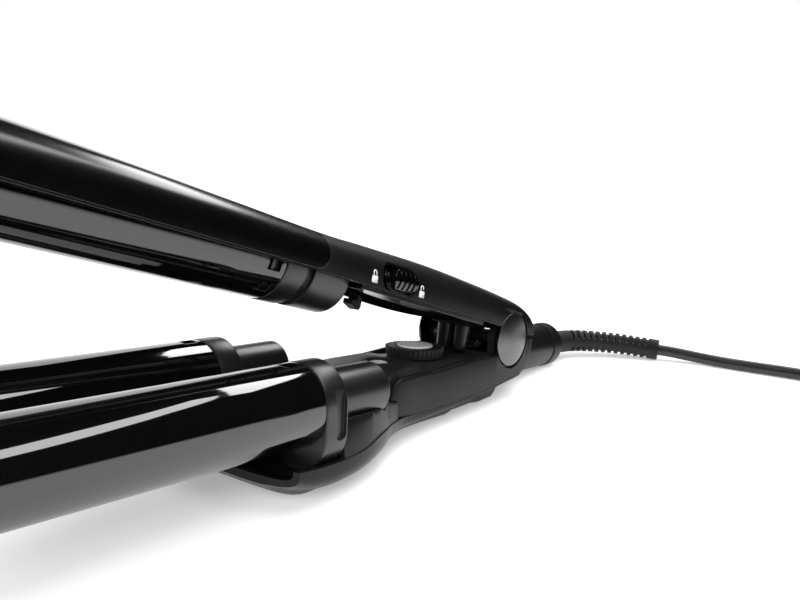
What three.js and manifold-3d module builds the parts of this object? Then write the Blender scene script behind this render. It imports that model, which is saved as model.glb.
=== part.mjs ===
// Triple-barrel hair crimper (deep waver), open on its opening spring and lying on a table.
// Millimetres, +Z up. The origin is on the table, straight below the hinge axis.
// The barrels point to -X and the cord leaves to +X. The lock slider is on the -Y side.
// Inside an arm's group, stations are measured from the hinge towards the barrel tips.
import * as THREE from 'three';
import { mergeVertices } from 'three/addons/utils/BufferGeometryUtils.js';
import Module from 'manifold-3d';

const wasm = await Module();
wasm.setup();

// Stance
const hingeHeight = 29;
const lowerPitch = 4.4;
const openAngle = 13.3;

// Barrels
const barrelDiameter = 28;
const barrelWall = 1.3;
const barrelLength = 120;
const barrelSpacing = 50.5;
const nestGap = 0.6;
const lowerAxisDrop = 6;
const seatGap = 0.3;
const tipLength = 8;
const plugDepth = 5;
const heaterWidth = 15;
const heaterThickness = 6;
const airSlotLength = 5;
const airSlotWidth = 3.2;

// Collars and necks
const collarStation = 130;
const collarLength = 10;
const collarProud = 0.12;
const collarDrop = 8;
const collarSlotLength = 15;
const collarSlotWidth = 3.4;
const neckDiameter = 19.4;
const neckLength = 27.3;
const neckChamfer = 1.2;
const bossLength = 21;
const bossGroove = 2.4;

// Arms
const wall = 2.2;
const armHalfWidth = 22.5;
const heelRadius = 19;
const squareness = 2.6;
const edgeHeight = 0.8;
const hullSquareness = 3.2;
const upperSeamHeight = 4.3;
const upperSeamRise = 0.02;
const upperTopHeight = 21.4;
const coverThickness = 1.3;
const coverStation = 126;
const coverHalfWidth = 20;
const frameRim = 1.2;
const bellyDepth = 2.6;
const bellyThickness = 1.8;

// Lower housing
const wallTopDrop = 5.4;
const partingDrop = 11;
const partingSlope = 0.085;
const panelEnd = 88;
const trayHalfWidth = 38.6;
const trayRimDrop = 24;
const trayEnd = 157;
const waistLift = 2.4;
const deckThickness = 2.2;
const deckStart = 23;

// Hinge
const pinDiameter = 6;
const runningGap = 0.06;
const capDiameter = 25;
const capThickness = 2.4;
const capProud = 1.1;
const capRecessGap = 0.7;
const lugRadius = 12;
const lowerLugThickness = 3.6;
const upperLugThickness = 3;
const lugGap = 0.5;
const springWire = 1.6;
const springCoilDiameter = 11;
const springTurns = 3.5;
const springLegReach = 12.5;

// Lock
const lockStation = 83.5;
const lockHeight = 11.5;
const lockTravel = 5.5;
const buttonLength = 14.5;
const buttonHeight = 8.6;
const buttonProud = 0.6;
const slotMargin = 0.6;
const hookWidth = 5;
const hookLength = 5.6;
const hookDrop = 6.8;
const catchWidth = 8;

// Temperature dial
const deckDrop = 6;
const dialStation = 44;
const dialDiameter = 25.6;
const dialThickness = 4.2;
const dialTop = -1.1;
const dialTeeth = 34;
const dialTooth = 0.5;
const dialFaceDiameter = 15.4;
const dialFaceThickness = 0.7;
const dialShaftDiameter = 6;
const screwWellStation = 68;
const screwWellDiameter = 11;
const boardLength = 36;
const boardWidth = 30;
const boardThickness = 1.6;

// Bumpers and their bracket
const bumperStation = 15;
const bumperSpacing = 10.4;
const bumperTopDiameter = 8.4;
const bumperTipDiameter = 7;
const bumperLength = 11.5;
const bracketLength = 13.5;
const bracketWidth = 19;
const bracketHeight = 5.5;

// Swivel, strain relief and cord
const rearCollarDiameter = 21;
const rearCollarEnd = 62;
const rearCollarDrop = 12.7;
const swivelGroove = 0.6;
const swivelRingDiameter = 22.6;
const swivelRingLength = 8.6;
const swivelStemDiameter = 12;
const reliefRootDiameter = 12.2;
const reliefTipDiameter = 10.8;
const reliefCoreDiameter = 9;
const reliefRibs = 14;
const reliefPlain = 13;
const cordDiameter = 5.8;
const coilMidDiameter = 64;
const coilTurns = 8;
const coilGap = 0.62;
const coilTailRadius = 27;
const coilTailTurn = 70;
const coilSteps = 24;
const coilSides = 6;
const plugLength = 34;
const plugWidth = 26;
const plugHeight = 18.4;
const plugPinDiameter = 4;
const plugPinLength = 19;
const plugPinSpacing = 19;

// Worked out from the sizes above
const barrelRadius = barrelDiameter / 2;
const lowerAxis = -lowerAxisDrop;
const halfSpacing = barrelSpacing / 2;
const upperAxis = Math.sqrt((barrelDiameter + nestGap) ** 2 - halfSpacing ** 2) - lowerAxisDrop;
const collarRadius = barrelRadius + collarProud;
const collarEnd = collarStation + collarLength;
const barrelStart = collarEnd + seatGap;
const barrelEnd = barrelStart + barrelLength;
const tipEnd = barrelEnd + tipLength;
const far = 400;
const mergeWithin = 0.02;
const thinnest = 0.012;
const thinPasses = 12;
const pitch = THREE.MathUtils.degToRad(lowerPitch);
const opening = THREE.MathUtils.degToRad(openAngle);

// Materials
function finish(color, roughness, metalness = 0) {
  return new THREE.MeshStandardMaterial({ color, roughness, metalness });
}

const satinBlack = finish(0x1b1b1c, 0.45);
const glossBlack = finish(0x060606, 0.08);
const ceramicBlack = finish(0x0a0a0b, 0.12, 0.3);
const matteBlack = finish(0x141414, 0.6);
const rubberBlack = finish(0x101010, 0.8);
const discGrey = finish(0x5a5b5c, 0.35, 0.6);
const dialGrey = finish(0xb9babb, 0.4, 0.3);
const steel = finish(0xa8a9ab, 0.3, 1);
const boardGreen = finish(0x1d5a34, 0.5);
const heaterWhite = finish(0xd8d4c8, 0.7);

// Solids
function solid(geometry) {
  const bare = geometry.index ? geometry.toNonIndexed() : geometry.clone();
  bare.deleteAttribute('normal');
  bare.deleteAttribute('uv');
  const merged = mergeVertices(bare, 1e-4);
  return new wasm.Manifold(new wasm.Mesh({
    numProp: 3,
    vertProperties: new Float32Array(merged.attributes.position.array),
    triVerts: new Uint32Array(merged.index.array),
  }));
}

// Triangles with the thin ones turned: each thin one trades its longest edge with the
// triangle across it, so that no sliver is left where two cuts nearly meet.
function turnThin(points, triangles) {
  const at = (index) => new THREE.Vector3().fromArray(points, index * 3);
  const spansOf = (face) => face.map((v, k) => at(v).distanceTo(at(face[(k + 1) % 3])));
  const heightOf = (face) => {
    const [a, b, c] = face.map(at);
    return b.sub(a).cross(c.sub(a)).length() / Math.max(...spansOf(face));
  };
  const faces = triangles.map((t) => [...t]);
  for (let pass = 0; pass < thinPasses; pass += 1) {
    const owner = new Map();
    faces.forEach((face, f) => face.forEach((v, k) => owner.set(`${v} ${face[(k + 1) % 3]}`, f)));
    const touched = new Set();
    faces.forEach((face, f) => {
      const height = heightOf(face);
      if (height > thinnest || touched.has(f)) {
        return;
      }
      const spans = spansOf(face);
      const longest = spans.indexOf(Math.max(...spans));
      const [a, b, c] = [0, 1, 2].map((k) => face[(longest + k) % 3]);
      const other = owner.get(`${b} ${a}`);
      if (other === undefined || touched.has(other)) {
        return;
      }
      const d = faces[other].find((v) => v !== a && v !== b);
      const turned = [[a, d, c], [d, b, c]];
      const taken = owner.has(`${c} ${d}`) || owner.has(`${d} ${c}`) || c === d;
      if (taken || Math.min(...turned.map(heightOf)) < Math.min(height * 1.5, thinnest)) {
        return;
      }
      [faces[f], faces[other]] = turned;
      touched.add(f);
      touched.add(other);
    });
    if (touched.size === 0) {
      break;
    }
  }
  return faces;
}

function meshFrom(name, body, material) {
  const result = body.getMesh();
  const raw = new THREE.BufferGeometry();
  raw.setAttribute('position', new THREE.BufferAttribute(result.vertProperties, 3));
  raw.setIndex(new THREE.BufferAttribute(result.triVerts, 1));
  const merged = mergeVertices(raw, mergeWithin);
  const index = Array.from(merged.index.array);
  const triangles = [];
  for (let i = 0; i < index.length; i += 3) {
    const [a, b, c] = index.slice(i, i + 3);
    if (a !== b && b !== c && c !== a) {
      triangles.push([a, b, c]);
    }
  }
  const points = merged.attributes.position.array;
  const geometry = new THREE.BufferGeometry();
  geometry.setAttribute('position', new THREE.BufferAttribute(points, 3));
  geometry.setIndex(turnThin(points, triangles).flat());
  geometry.computeVertexNormals();
  const mesh = new THREE.Mesh(geometry, material);
  mesh.name = name;
  return mesh;
}

function joined(parts) {
  return parts.reduce((whole, part) => whole.add(part));
}

function cut(body, tools) {
  return tools.reduce((rest, tool) => rest.subtract(tool), body);
}

// A box between two stations towards the tips, two widths and two heights.
function block(from, to, left, right, low, high) {
  const geometry = new THREE.BoxGeometry(to - from, right - left, high - low);
  geometry.translate(-(from + to) / 2, (left + right) / 2, (low + high) / 2);
  return solid(geometry);
}

// A round bar along the arm, with its own radius at each end.
function bar(from, to, y, z, radius, sides = 40, endRadius = radius) {
  const geometry = new THREE.CylinderGeometry(endRadius, radius, to - from, sides);
  geometry.rotateZ(Math.PI / 2);
  geometry.translate(-(from + to) / 2, y, z);
  return solid(geometry);
}

function crossPin(left, right, station, z, radius, sides = 40) {
  const geometry = new THREE.CylinderGeometry(radius, radius, right - left, sides);
  geometry.translate(-station, (left + right) / 2, z);
  return solid(geometry);
}

function post(station, y, low, high, radius, sides = 32, topRadius = radius) {
  const geometry = new THREE.CylinderGeometry(topRadius, radius, high - low, sides);
  geometry.rotateX(Math.PI / 2);
  geometry.translate(-station, y, (low + high) / 2);
  return solid(geometry);
}

// A straight prism of an outline given in stations and heights, across the arm.
function crossPlate(outline, left, right) {
  const shape = new THREE.Shape(outline.map(([s, z]) => new THREE.Vector2(-s, z)));
  const geometry = new THREE.ExtrudeGeometry(shape, { depth: right - left, bevelEnabled: false });
  geometry.rotateX(Math.PI / 2);
  geometry.translate(0, right, 0);
  return solid(geometry);
}

// A straight prism of an outline given in stations and widths, standing up.
function flatPlate(outline, low, high) {
  const shape = new THREE.Shape(outline.map(([s, y]) => new THREE.Vector2(-s, y)));
  const geometry = new THREE.ExtrudeGeometry(shape, { depth: high - low, bevelEnabled: false });
  geometry.translate(0, 0, low);
  return solid(geometry);
}

// Triangles that fill a flat ring, wound the way its points run.
function lid(ring) {
  const corners = ring.map((p) => new THREE.Vector3(...p));
  const normal = new THREE.Vector3();
  corners.forEach((p, i) => {
    normal.add(new THREE.Vector3().crossVectors(p, corners[(i + 1) % corners.length]));
  });
  normal.normalize();
  const side = Math.abs(normal.z) < 0.9 ? new THREE.Vector3(0, 0, 1) : new THREE.Vector3(1, 0, 0);
  const u = new THREE.Vector3().crossVectors(side, normal).normalize();
  const v = new THREE.Vector3().crossVectors(normal, u);
  const flat = corners.map((p) => new THREE.Vector2(p.dot(u), p.dot(v)));
  return THREE.ShapeUtils.triangulateShape(flat, []).map(([a, b, c]) => {
    const turn = flat[b].clone().sub(flat[a]).cross(flat[c].clone().sub(flat[a]));
    return turn > 0 ? [a, b, c] : [a, c, b];
  });
}

// Skins rings of equal count into one closed body; every ring is a list of points.
function skin(rings) {
  const count = rings[0].length;
  const positions = rings.flat().flat();
  const triangles = [];
  for (let i = 0; i + 1 < rings.length; i += 1) {
    for (let j = 0; j < count; j += 1) {
      const a = i * count + j;
      const b = i * count + ((j + 1) % count);
      triangles.push(a, b, a + count, b, b + count, a + count);
    }
  }
  for (const [index, forward] of [[0, false], [rings.length - 1, true]]) {
    for (const face of lid(rings[index])) {
      const corners = face.map((j) => index * count + j);
      triangles.push(...(forward ? corners : corners.reverse()));
    }
  }
  const geometry = new THREE.BufferGeometry();
  geometry.setAttribute('position', new THREE.Float32BufferAttribute(positions, 3));
  geometry.setIndex(triangles);
  let volume = 0;
  const point = (index) => new THREE.Vector3().fromArray(positions, index * 3);
  for (let i = 0; i < triangles.length; i += 3) {
    const [a, b, c] = triangles.slice(i, i + 3).map(point);
    volume += a.dot(b.cross(c));
  }
  if (volume < 0) {
    geometry.setIndex(triangles.reverse());
  }
  return solid(geometry);
}

// A squared-off arch from springing to crown, on straight walls from the base line.
function archRing({ at, halfWidth, base, springing, crown, power = squareness }, steps) {
  const ring = [[-at, halfWidth, base]];
  for (const angle of spread(0, Math.PI, steps)) {
    const across = Math.cos(angle);
    const y = halfWidth * Math.sign(across) * Math.abs(across) ** (2 / power);
    const z = springing + (crown - springing) * Math.abs(Math.sin(angle)) ** (2 / power);
    ring.push([-at, y, z]);
  }
  return [...ring, [-at, -halfWidth, base]];
}

function archBody(stations, steps) {
  return skin(stations.map((station) => archRing(station, steps)));
}

// Smooth reading of a list of [station, value] pairs.
function profile(pairs, station) {
  const curve = new THREE.SplineCurve(pairs.map(([s, v]) => new THREE.Vector2(s, v)));
  let low = 0;
  let high = 1;
  for (let i = 0; i < 40; i += 1) {
    const middle = (low + high) / 2;
    if (curve.getPoint(middle).x < station) {
      low = middle;
    } else {
      high = middle;
    }
  }
  return curve.getPoint((low + high) / 2).y;
}

function spread(from, to, count) {
  return Array.from({ length: count + 1 }, (_, i) => from + ((to - from) * i) / count);
}

// Upper arm
const seamAt = (station) => upperSeamHeight + upperSeamRise * Math.max(station, 0);
const upperTopLine = [
  [-60, 12], [-25, upperTopHeight - 3.2], [0, upperTopHeight - 1.2], [25, upperTopHeight],
  [60, upperTopHeight + 1], [98, upperTopHeight + 0.6], [coverStation, upperTopHeight + 0.3],
  [200, upperTopHeight + 2], [280, upperTopHeight + 3],
];
const topAt = (station) => profile(upperTopLine, station);
const upperWidthLine = [
  [-60, armHalfWidth], [0, armHalfWidth], [50, armHalfWidth - 0.4], [coverStation, coverHalfWidth],
  [200, coverHalfWidth], [280, coverHalfWidth - 0.6],
];
const upperWidthAt = (station) => profile(upperWidthLine, station);

// The upper arm's outline between two stations, moved inwards, on its edge or a lower base.
function upperBody(from, to, count, inset, base = null, steps = 16) {
  return archBody(spread(from, to, count).map((at) => ({
    at,
    halfWidth: upperWidthAt(at) - inset,
    base: base === null ? seamAt(at) : base,
    springing: seamAt(at) + edgeHeight,
    crown: topAt(at) - inset,
  })), steps);
}

function capRecess() {
  const radius = capDiameter / 2 + capRecessGap;
  const depth = armHalfWidth + capProud - capThickness - seatGap;
  return [-1, 1].map((side) => (side < 0
    ? crossPin(-far / 8, -depth, 0, 0, radius)
    : crossPin(depth, far / 8, 0, 0, radius)));
}

// Everything above a line that runs a given height over the arm's lower edge.
function aboveSeam(rise) {
  const line = (station) => seamAt(station) + rise;
  return crossPlate([[coverStation - 30, line(coverStation - 30)], [far, line(far)], [far, far],
    [coverStation - 30, far]], -far, far);
}

function upperLugs() {
  const inner = armHalfWidth - wall - upperLugThickness;
  return [-1, 1].flatMap((side) => {
    const [a, b] = [side * inner, side * (armHalfWidth - wall - lugGap)].sort((p, q) => p - q);
    const [c, d] = [side * inner, side * (armHalfWidth - wall / 2)].sort((p, q) => p - q);
    return [
      crossPin(a, b, 0, 0, lugRadius, 26),
      block(0, 11, c, d, upperSeamHeight + 1, upperTopHeight - 8),
      block(-11, 11, c, d, lugRadius / 2, upperTopHeight - 8),
    ];
  });
}

function upperHandleShell() {
  const outside = upperBody(-heelRadius, coverStation, 9, 0);
  const hollow = upperBody(-heelRadius + wall, coverStation + 5, 6, wall, upperSeamHeight - 6, 10);
  const heel = joined([
    block(0, far, -far, far, -far, far),
    crossPin(-far, far, 0, 0, heelRadius, 44),
  ]);
  const behind = block(-far, 0, -far, far, -far, seatGap).rotate([0, -openAngle, 0])
    .subtract(crossPin(-armHalfWidth + wall, armHalfWidth - wall, 0, 0, lugRadius + 1, 32));
  const rails = upperBody(coverStation - 2, tipEnd, 4, 0, null, 12);
  const railHollow = upperBody(coverStation - 3, tipEnd + 1, 4, wall + coverThickness, 0, 8);
  const coverSeat = upperBody(coverStation, tipEnd + 2, 4, -1, 0, 12)
    .subtract(upperBody(coverStation - 1, tipEnd + 3, 4, coverThickness + seatGap, -1, 12))
    .intersect(aboveSeam(frameRim));
  const openTop = block(coverStation + 5, far, -11, 11, 0, far);
  const rail = cut(rails, [railHollow, coverSeat, openTop]);
  const walls = outside.subtract(hollow).intersect(heel).subtract(behind);
  const bossBed = bar(collarStation - bossLength - 2 - seatGap, far, 0, upperAxis,
    collarRadius + seatGap + 0.1, 36);
  const lockSlot = slotAcross(-armHalfWidth - 5, -armHalfWidth + wall + 5, slotMargin);
  return cut(joined([walls, rail, ...upperLugs()]), [
    bossBed,
    lockSlot,
    crossPin(-far, far, 0, 0, pinDiameter / 2 + runningGap, 32),
    ...capRecess(),
  ]);
}

// The oval window that the lock button travels in; margin widens it all round.
function slotAcross(left, right, margin) {
  const middle = lockStation + lockTravel / 2;
  const half = (buttonLength + lockTravel) / 2 + margin;
  return ovalAcross(left, right, middle, lockHeight, half, buttonHeight / 2 + margin);
}

function ovalAcross(left, right, station, height, halfLength, halfHeight) {
  const straight = Math.max(halfLength - halfHeight, 0.01);
  return joined([
    crossPin(left, right, station - straight, height, halfHeight, 20),
    crossPin(left, right, station + straight, height, halfHeight, 20),
    block(station - straight, station + straight, left, right, height - halfHeight,
      height + halfHeight),
  ]);
}

function upperCover() {
  const outside = upperBody(coverStation + seatGap * 1.2, tipEnd, 5, 0, null, 16);
  const inside = upperBody(coverStation - 2, tipEnd + 2, 4, coverThickness, -1, 12);
  const barrelRoom = bar(collarStation - 20, far, 0, upperAxis, collarRadius + seatGap + 0.1, 36);
  return cut(outside.subtract(inside), [barrelRoom]).intersect(aboveSeam(frameRim + seatGap));
}

function bellyPlate() {
  const from = bracketEnd + 2 + seatGap;
  const to = collarStation - bossLength - 4;
  const middle = (from + to) / 2;
  const rings = spread(from, to, 6).map((at) => {
    const bulge = bellyDepth * (1 - (2 * (at - middle) / (to - from)) ** 2);
    const half = upperWidthAt(at) - wall - seatGap * 2;
    const top = seamAt(at) + 0.2;
    const low = [];
    const high = [];
    for (const share of spread(-1, 1, 6)) {
      const drop = bulge * (1 - share * share);
      low.push([-at, share * half, top - bellyThickness - drop]);
      high.unshift([-at, share * half, top - drop]);
    }
    return [...low, ...high];
  });
  const hookWay = block(lockStation + 2 - slotMargin - 1,
    lockStation + 2 + hookLength + lockTravel + slotMargin + 1,
    -hookWidth / 2 - slotMargin - 3, hookWidth / 2 + slotMargin + 3, -10, 10);
  return cut(skin(rings), [hookWay]);
}

function barrelTube(y, z, slots) {
  const tube = bar(barrelStart, barrelEnd, y, z, barrelRadius, 36)
    .subtract(bar(barrelStart - 1, barrelEnd + 1, y, z, barrelRadius - barrelWall, 28));
  const cuts = slots.map((turn) => {
    const tool = block(barrelStart + 3.5, barrelStart + 3.5 + airSlotLength, -airSlotWidth / 2,
      airSlotWidth / 2, barrelRadius - barrelWall * 2, barrelRadius + 1);
    return tool.rotate([turn, 0, 0]).translate([0, y, z]);
  });
  return cut(tube, cuts);
}

// A collar round the barrel's root; drop lengthens it downwards into the housing.
function collar(y, z, drop) {
  const bore = barrelRadius - barrelWall - seatGap;
  const outer = [bar(collarStation, collarEnd, y, z, collarRadius, 36)];
  if (drop > 0) {
    outer.push(bar(collarStation, collarEnd, y, z - drop, collarRadius, 36));
    outer.push(block(collarStation, collarEnd, y - collarRadius, y + collarRadius, z - drop, z));
  }
  outer.push(bar(collarEnd - 1, collarEnd + seatGap + plugDepth, y, z, bore, 28));
  const hollow = bar(collarStation + 3, collarEnd + plugDepth + 1, y, z, bore - 1.8, 20);
  return joined(outer).subtract(hollow);
}

function collarSlot(y, z, side) {
  const half = collarSlotLength / 2;
  const left = side < 0 ? y - collarRadius - 2 : y + collarRadius - 1.4;
  const right = side < 0 ? y - collarRadius + 1.4 : y + collarRadius + 2;
  return joined([
    crossPin(left, right, collarStation + 3.4, z + half, collarSlotWidth / 2, 14),
    crossPin(left, right, collarStation + 3.4, z - half, collarSlotWidth / 2, 14),
    block(collarStation + 3.4 - collarSlotWidth / 2, collarStation + 3.4 + collarSlotWidth / 2,
      left, right, z - half, z + half),
  ]);
}

function neck(y, z) {
  const from = collarStation - neckLength;
  const to = collarStation - seatGap;
  const radius = neckDiameter / 2;
  return joined([
    bar(from + neckChamfer, to, y, z, radius, 32),
    bar(from, from + neckChamfer, y, z, radius - neckChamfer, 32, radius),
  ]).subtract(bar(from + 3, to + 1, y, z, radius - 2.4, 20));
}

function boss() {
  const from = collarStation - bossLength - 2;
  const to = collarStation - seatGap;
  return joined([
    bar(from + 1, to - bossGroove, 0, upperAxis, barrelRadius - 0.1, 36),
    bar(from, from + 1, 0, upperAxis, barrelRadius - 1, 36, barrelRadius - 0.1),
    bar(to - bossGroove - 0.5, to, 0, upperAxis, barrelRadius - 2, 28),
  ]).subtract(bar(from + 3, to + 1, 0, upperAxis, barrelRadius - 5, 20));
}

function tipCap(y, z) {
  return joined([
    bar(barrelEnd - plugDepth, barrelEnd + seatGap + 0.5, y, z, barrelRadius - barrelWall - seatGap,
      28),
    bar(barrelEnd + seatGap, tipEnd - 2, y, z, barrelRadius, 40),
    bar(tipEnd - 2, tipEnd, y, z, barrelRadius, 40, barrelRadius - 2.5),
  ]);
}

// A ceramic heating bar in its two clamp blades, which press on the barrel's bore.
function heater(y, z) {
  const from = barrelStart + plugDepth + 6;
  const to = barrelEnd - plugDepth - 6;
  const blade = (side) => block(from, to, y - heaterWidth / 2 + 1, y + heaterWidth / 2 - 1,
    z + side * (heaterThickness / 2 + 0.9) - 0.9, z + side * (heaterThickness / 2 + 0.9) + 0.9);
  return joined([
    block(from + 3, to - 3, y - heaterWidth / 2, y + heaterWidth / 2, z - heaterThickness / 2 - 0.1,
      z + heaterThickness / 2 + 0.1),
    blade(-1),
    blade(1),
  ]);
}

const bracketEnd = bumperStation + bumperTopDiameter / 2 + 1.2;
function bracket() {
  const from = bracketEnd - bracketLength;
  const top = seamAt(bumperStation) + 3;
  const plate = block(from, from + bracketLength, -bracketWidth / 2, bracketWidth / 2,
    top - bracketHeight, top);
  const rim = block(from - 2, from + bracketLength + 2, -bracketWidth / 2 - 1,
    bracketWidth / 2 + 1, top - 1.4, top);
  return joined([plate, rim]);
}

function bumper(side) {
  const y = (side * bumperSpacing) / 2;
  const top = seamAt(bumperStation) + 3 - bracketHeight - seatGap;
  const low = top - bumperLength;
  return joined([
    post(bumperStation, y, low + 0.8, top, bumperTipDiameter / 2, 20, bumperTopDiameter / 2),
    post(bumperStation, y, low, low + 0.8, bumperTipDiameter / 2 - 0.8, 20, bumperTipDiameter / 2),
  ]);
}

// Lock: the button's faces follow the curve of the arm's wall.
function lockButton() {
  const slab = (outer, inner) => upperBody(lockStation - 20, lockStation + 20, 1, outer, null, 12)
    .subtract(upperBody(lockStation - 21, lockStation + 21, 1, inner, 0, 12));
  const oval = (margin) => ovalAcross(-armHalfWidth - 3, -8, lockStation, lockHeight,
    buttonLength / 2 + margin, buttonHeight / 2 + margin);
  const body = oval(0).intersect(slab(-buttonProud, wall + 2.2));
  const keeper = ovalAcross(-armHalfWidth - 3, -8, lockStation, lockHeight + 0.4,
    buttonLength / 2 + 2, buttonHeight / 2 + 1).intersect(slab(wall + 0.45, wall + 2.2));
  const dish = oval(-1.5).intersect(slab(-buttonProud - 1, 0.3));
  const ridges = [-1, 0, 1].map((step) => block(lockStation + step * 3 - 0.6,
    lockStation + step * 3 + 0.6, -armHalfWidth - 3, -8, lockHeight - buttonHeight / 2 + 2,
    lockHeight + buttonHeight / 2 - 2).intersect(slab(-buttonProud + 0.2, 0.8)));
  return joined([body.subtract(dish), ...ridges, keeper]);
}

function lockHook() {
  const from = lockStation + 2;
  const to = from + hookLength;
  const root = lockHeight - 1;
  const arm = block(from, to, -armHalfWidth + wall + 6.6, hookWidth / 2, root - 2.5, root);
  const low = seamAt(lockStation) - hookDrop;
  const shank = block(from, from + 3, -hookWidth / 2, hookWidth / 2, low, root - 1);
  const toe = crossPlate([[from, low], [from + 1, low - 1.4], [to, low + 0.4], [to, low + 2.4],
    [from + 2.9, low + 2.4]], -hookWidth / 2, hookWidth / 2);
  return joined([arm, shank, toe]);
}

// Lower arm
const tableLine = (station) => -(hingeHeight + station * Math.sin(pitch)) / Math.cos(pitch);
const partingAt = (station) => -partingDrop - partingSlope * Math.max(station, 0);
const hullWidthLine = [
  [-30, armHalfWidth - 1], [0, armHalfWidth], [40, armHalfWidth - 0.3], [74, armHalfWidth - 0.2],
  [90, armHalfWidth + 4.4], [104, trayHalfWidth - 4.8], [120, trayHalfWidth - 0.6],
  [140, trayHalfWidth], [170, trayHalfWidth - 2.4],
];
const hullWidthAt = (station) => profile(hullWidthLine, station);
const rimStart = panelEnd;
const hullRimLine = [
  [rimStart, partingAt(rimStart)], [104, -trayRimDrop + 4.4], [120, -trayRimDrop + 1],
  [140, -trayRimDrop], [170, -trayRimDrop + 1],
];
const hullRimAt = (station) => (station < rimStart ? partingAt(station)
  : profile(hullRimLine, station));
const hullLiftLine = [
  [-30, 1], [0, 0], [25, 0.4], [60, waistLift], [85, waistLift], [108, 0.2], [130, 0], [170, 0],
];
const hullFloorAt = (station) => tableLine(station) + Math.max(profile(hullLiftLine, station), 0);

function hullBody(from, to, count, inset, base = null, steps = 16) {
  return archBody(spread(from, to, count).map((at) => ({
    at,
    halfWidth: hullWidthAt(at) - inset,
    base: base === null ? hullRimAt(at) : base,
    springing: hullRimAt(at) - edgeHeight,
    crown: hullFloorAt(at) + (inset > 0 ? inset : -0.6),
    power: hullSquareness,
  })), steps);
}

function belowTable() {
  return block(-far, far, -far, far, -far, 0)
    .translate([0, 0, -hingeHeight])
    .rotate([0, -lowerPitch, 0]);
}

// The rounded heel behind the hinge, moved inwards, with everything ahead of it.
function heelTrim(inset) {
  const points = spread(-Math.PI, 0, 24).map((angle) => [
    -(heelRadius - inset) * Math.abs(Math.sin(angle)) ** 0.8,
    Math.cos(angle) * (hingeHeight + 6 - inset),
  ]);
  return crossPlate([...points, [far, hingeHeight + 6 - inset], [far, -far], [0, -far]], -far, far);
}

function lowerOuterShell() {
  const outside = hullBody(-heelRadius, trayEnd, 17, 0, null, 14);
  const hollow = hullBody(-heelRadius + wall, trayEnd + 4, 10, wall, 2, 10);
  const shoulder = cradle();
  const rear = bar(-far, -heelRadius + 8, 0, -rearCollarDrop, rearCollarDiameter / 2 + seatGap, 40);
  const screwBoss = post(screwWellStation, 0, hullFloorAt(screwWellStation) + 0.5, -14 - seatGap, 4, 16);
  const hull = outside.intersect(heelTrim(0)).subtract(hollow.intersect(heelTrim(wall)));
  const shell = joined([hull, shoulder.intersect(outside), screwBoss]);
  const necks = [-1, 1].flatMap((side) => [
    bar(collarStation - neckLength - 0.6, far, side * halfSpacing, lowerAxis,
      neckDiameter / 2 + seatGap, 40),
    joined([
      bar(collarStation - seatGap, trayEnd + 5, side * halfSpacing, lowerAxis,
        collarRadius + seatGap, 48),
      bar(collarStation - seatGap, collarEnd + seatGap, side * halfSpacing,
        lowerAxis - collarDrop, collarRadius + seatGap, 48),
    ]),
  ]);
  const thread = post(screwWellStation, 0, -22.5, 0, 1.7, 12);
  return cut(shell, [belowTable(), rear, thread, ...necks, ...capRecess()]);
}

// The bulkhead across the tray that carries the necks and the collars' feet.
function cradle() {
  const web = block(collarStation - neckLength + 4, collarStation - neckLength + 7,
    -trayHalfWidth, trayHalfWidth, -far / 8, -trayRimDrop + 8);
  const saddle = block(collarStation + 2, collarStation + 5, -trayHalfWidth, trayHalfWidth,
    -far / 8, -trayRimDrop - 2);
  const spine = block(collarStation - neckLength, trayEnd - 12, -1.1, 1.1, -far / 8,
    -trayRimDrop - 6);
  return joined([web, saddle, spine]);
}

function lowerInnerShell() {
  const outside = archBodyBand(-heelRadius, panelEnd, 0, 0, 0);
  const hollow = archBodyBand(-heelRadius + wall, panelEnd + 12, wall, -0.6, 4);
  const lugOuter = armHalfWidth - wall - upperLugThickness - lugGap;
  const lugInner = lugOuter - lowerLugThickness;
  const lugs = [-1, 1].flatMap((side) => {
    const [a, b] = [side * lugInner, side * lugOuter].sort((p, q) => p - q);
    return [crossPin(a, b, 0, 0, lugRadius, 26), block(-10, 12, a, b, -partingDrop - 2, 0)];
  });
  const bridge = block(springCoilDiameter / 2 + springWire + 0.5, deckStart + 1.5, -lugOuter,
    lugOuter, -deckDrop - deckThickness - 0.4, -deckDrop - 0.25);
  const apron = block(lugRadius + 1.2, deckStart + 1, -armHalfWidth + wall - 0.1,
    armHalfWidth - wall + 0.1, -deckDrop - deckThickness - 0.9, -deckDrop - 0.8);
  const rear = bar(-far, -heelRadius + 8, 0, -rearCollarDrop, rearCollarDiameter / 2 + seatGap, 36);
  const swing = [-1, 1].map((side) => {
    const [a, b] = [side * (lugOuter + lugGap / 2), side * (armHalfWidth - wall - 0.3)]
      .sort((p, q) => p - q);
    return crossPin(a, b, 0, 0, lugRadius + seatGap * 2, 26);
  });
  const necks = [-1, 1].map((side) => bar(collarStation - neckLength - 0.6, far,
    side * halfSpacing, lowerAxis, neckDiameter / 2 + seatGap, 32));
  const walls = outside.intersect(heelTrim(0)).subtract(hollow.intersect(heelTrim(wall)));
  return cut(joined([walls, deckPlate(), bridge, apron, ...lugs]), [
    crossPin(-far, far, 0, 0, pinDiameter / 2 + 0.02, 32),
    rear,
    ...swing,
    ...necks,
    ...pockets(),
    ...capRecess(),
  ]);
}

function pockets() {
  return [-1, 1].map((side) => post(bumperStation + 0.8, (side * bumperSpacing) / 2, -40, 4,
    bumperTopDiameter / 2 + 1.6, 18));
}

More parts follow.
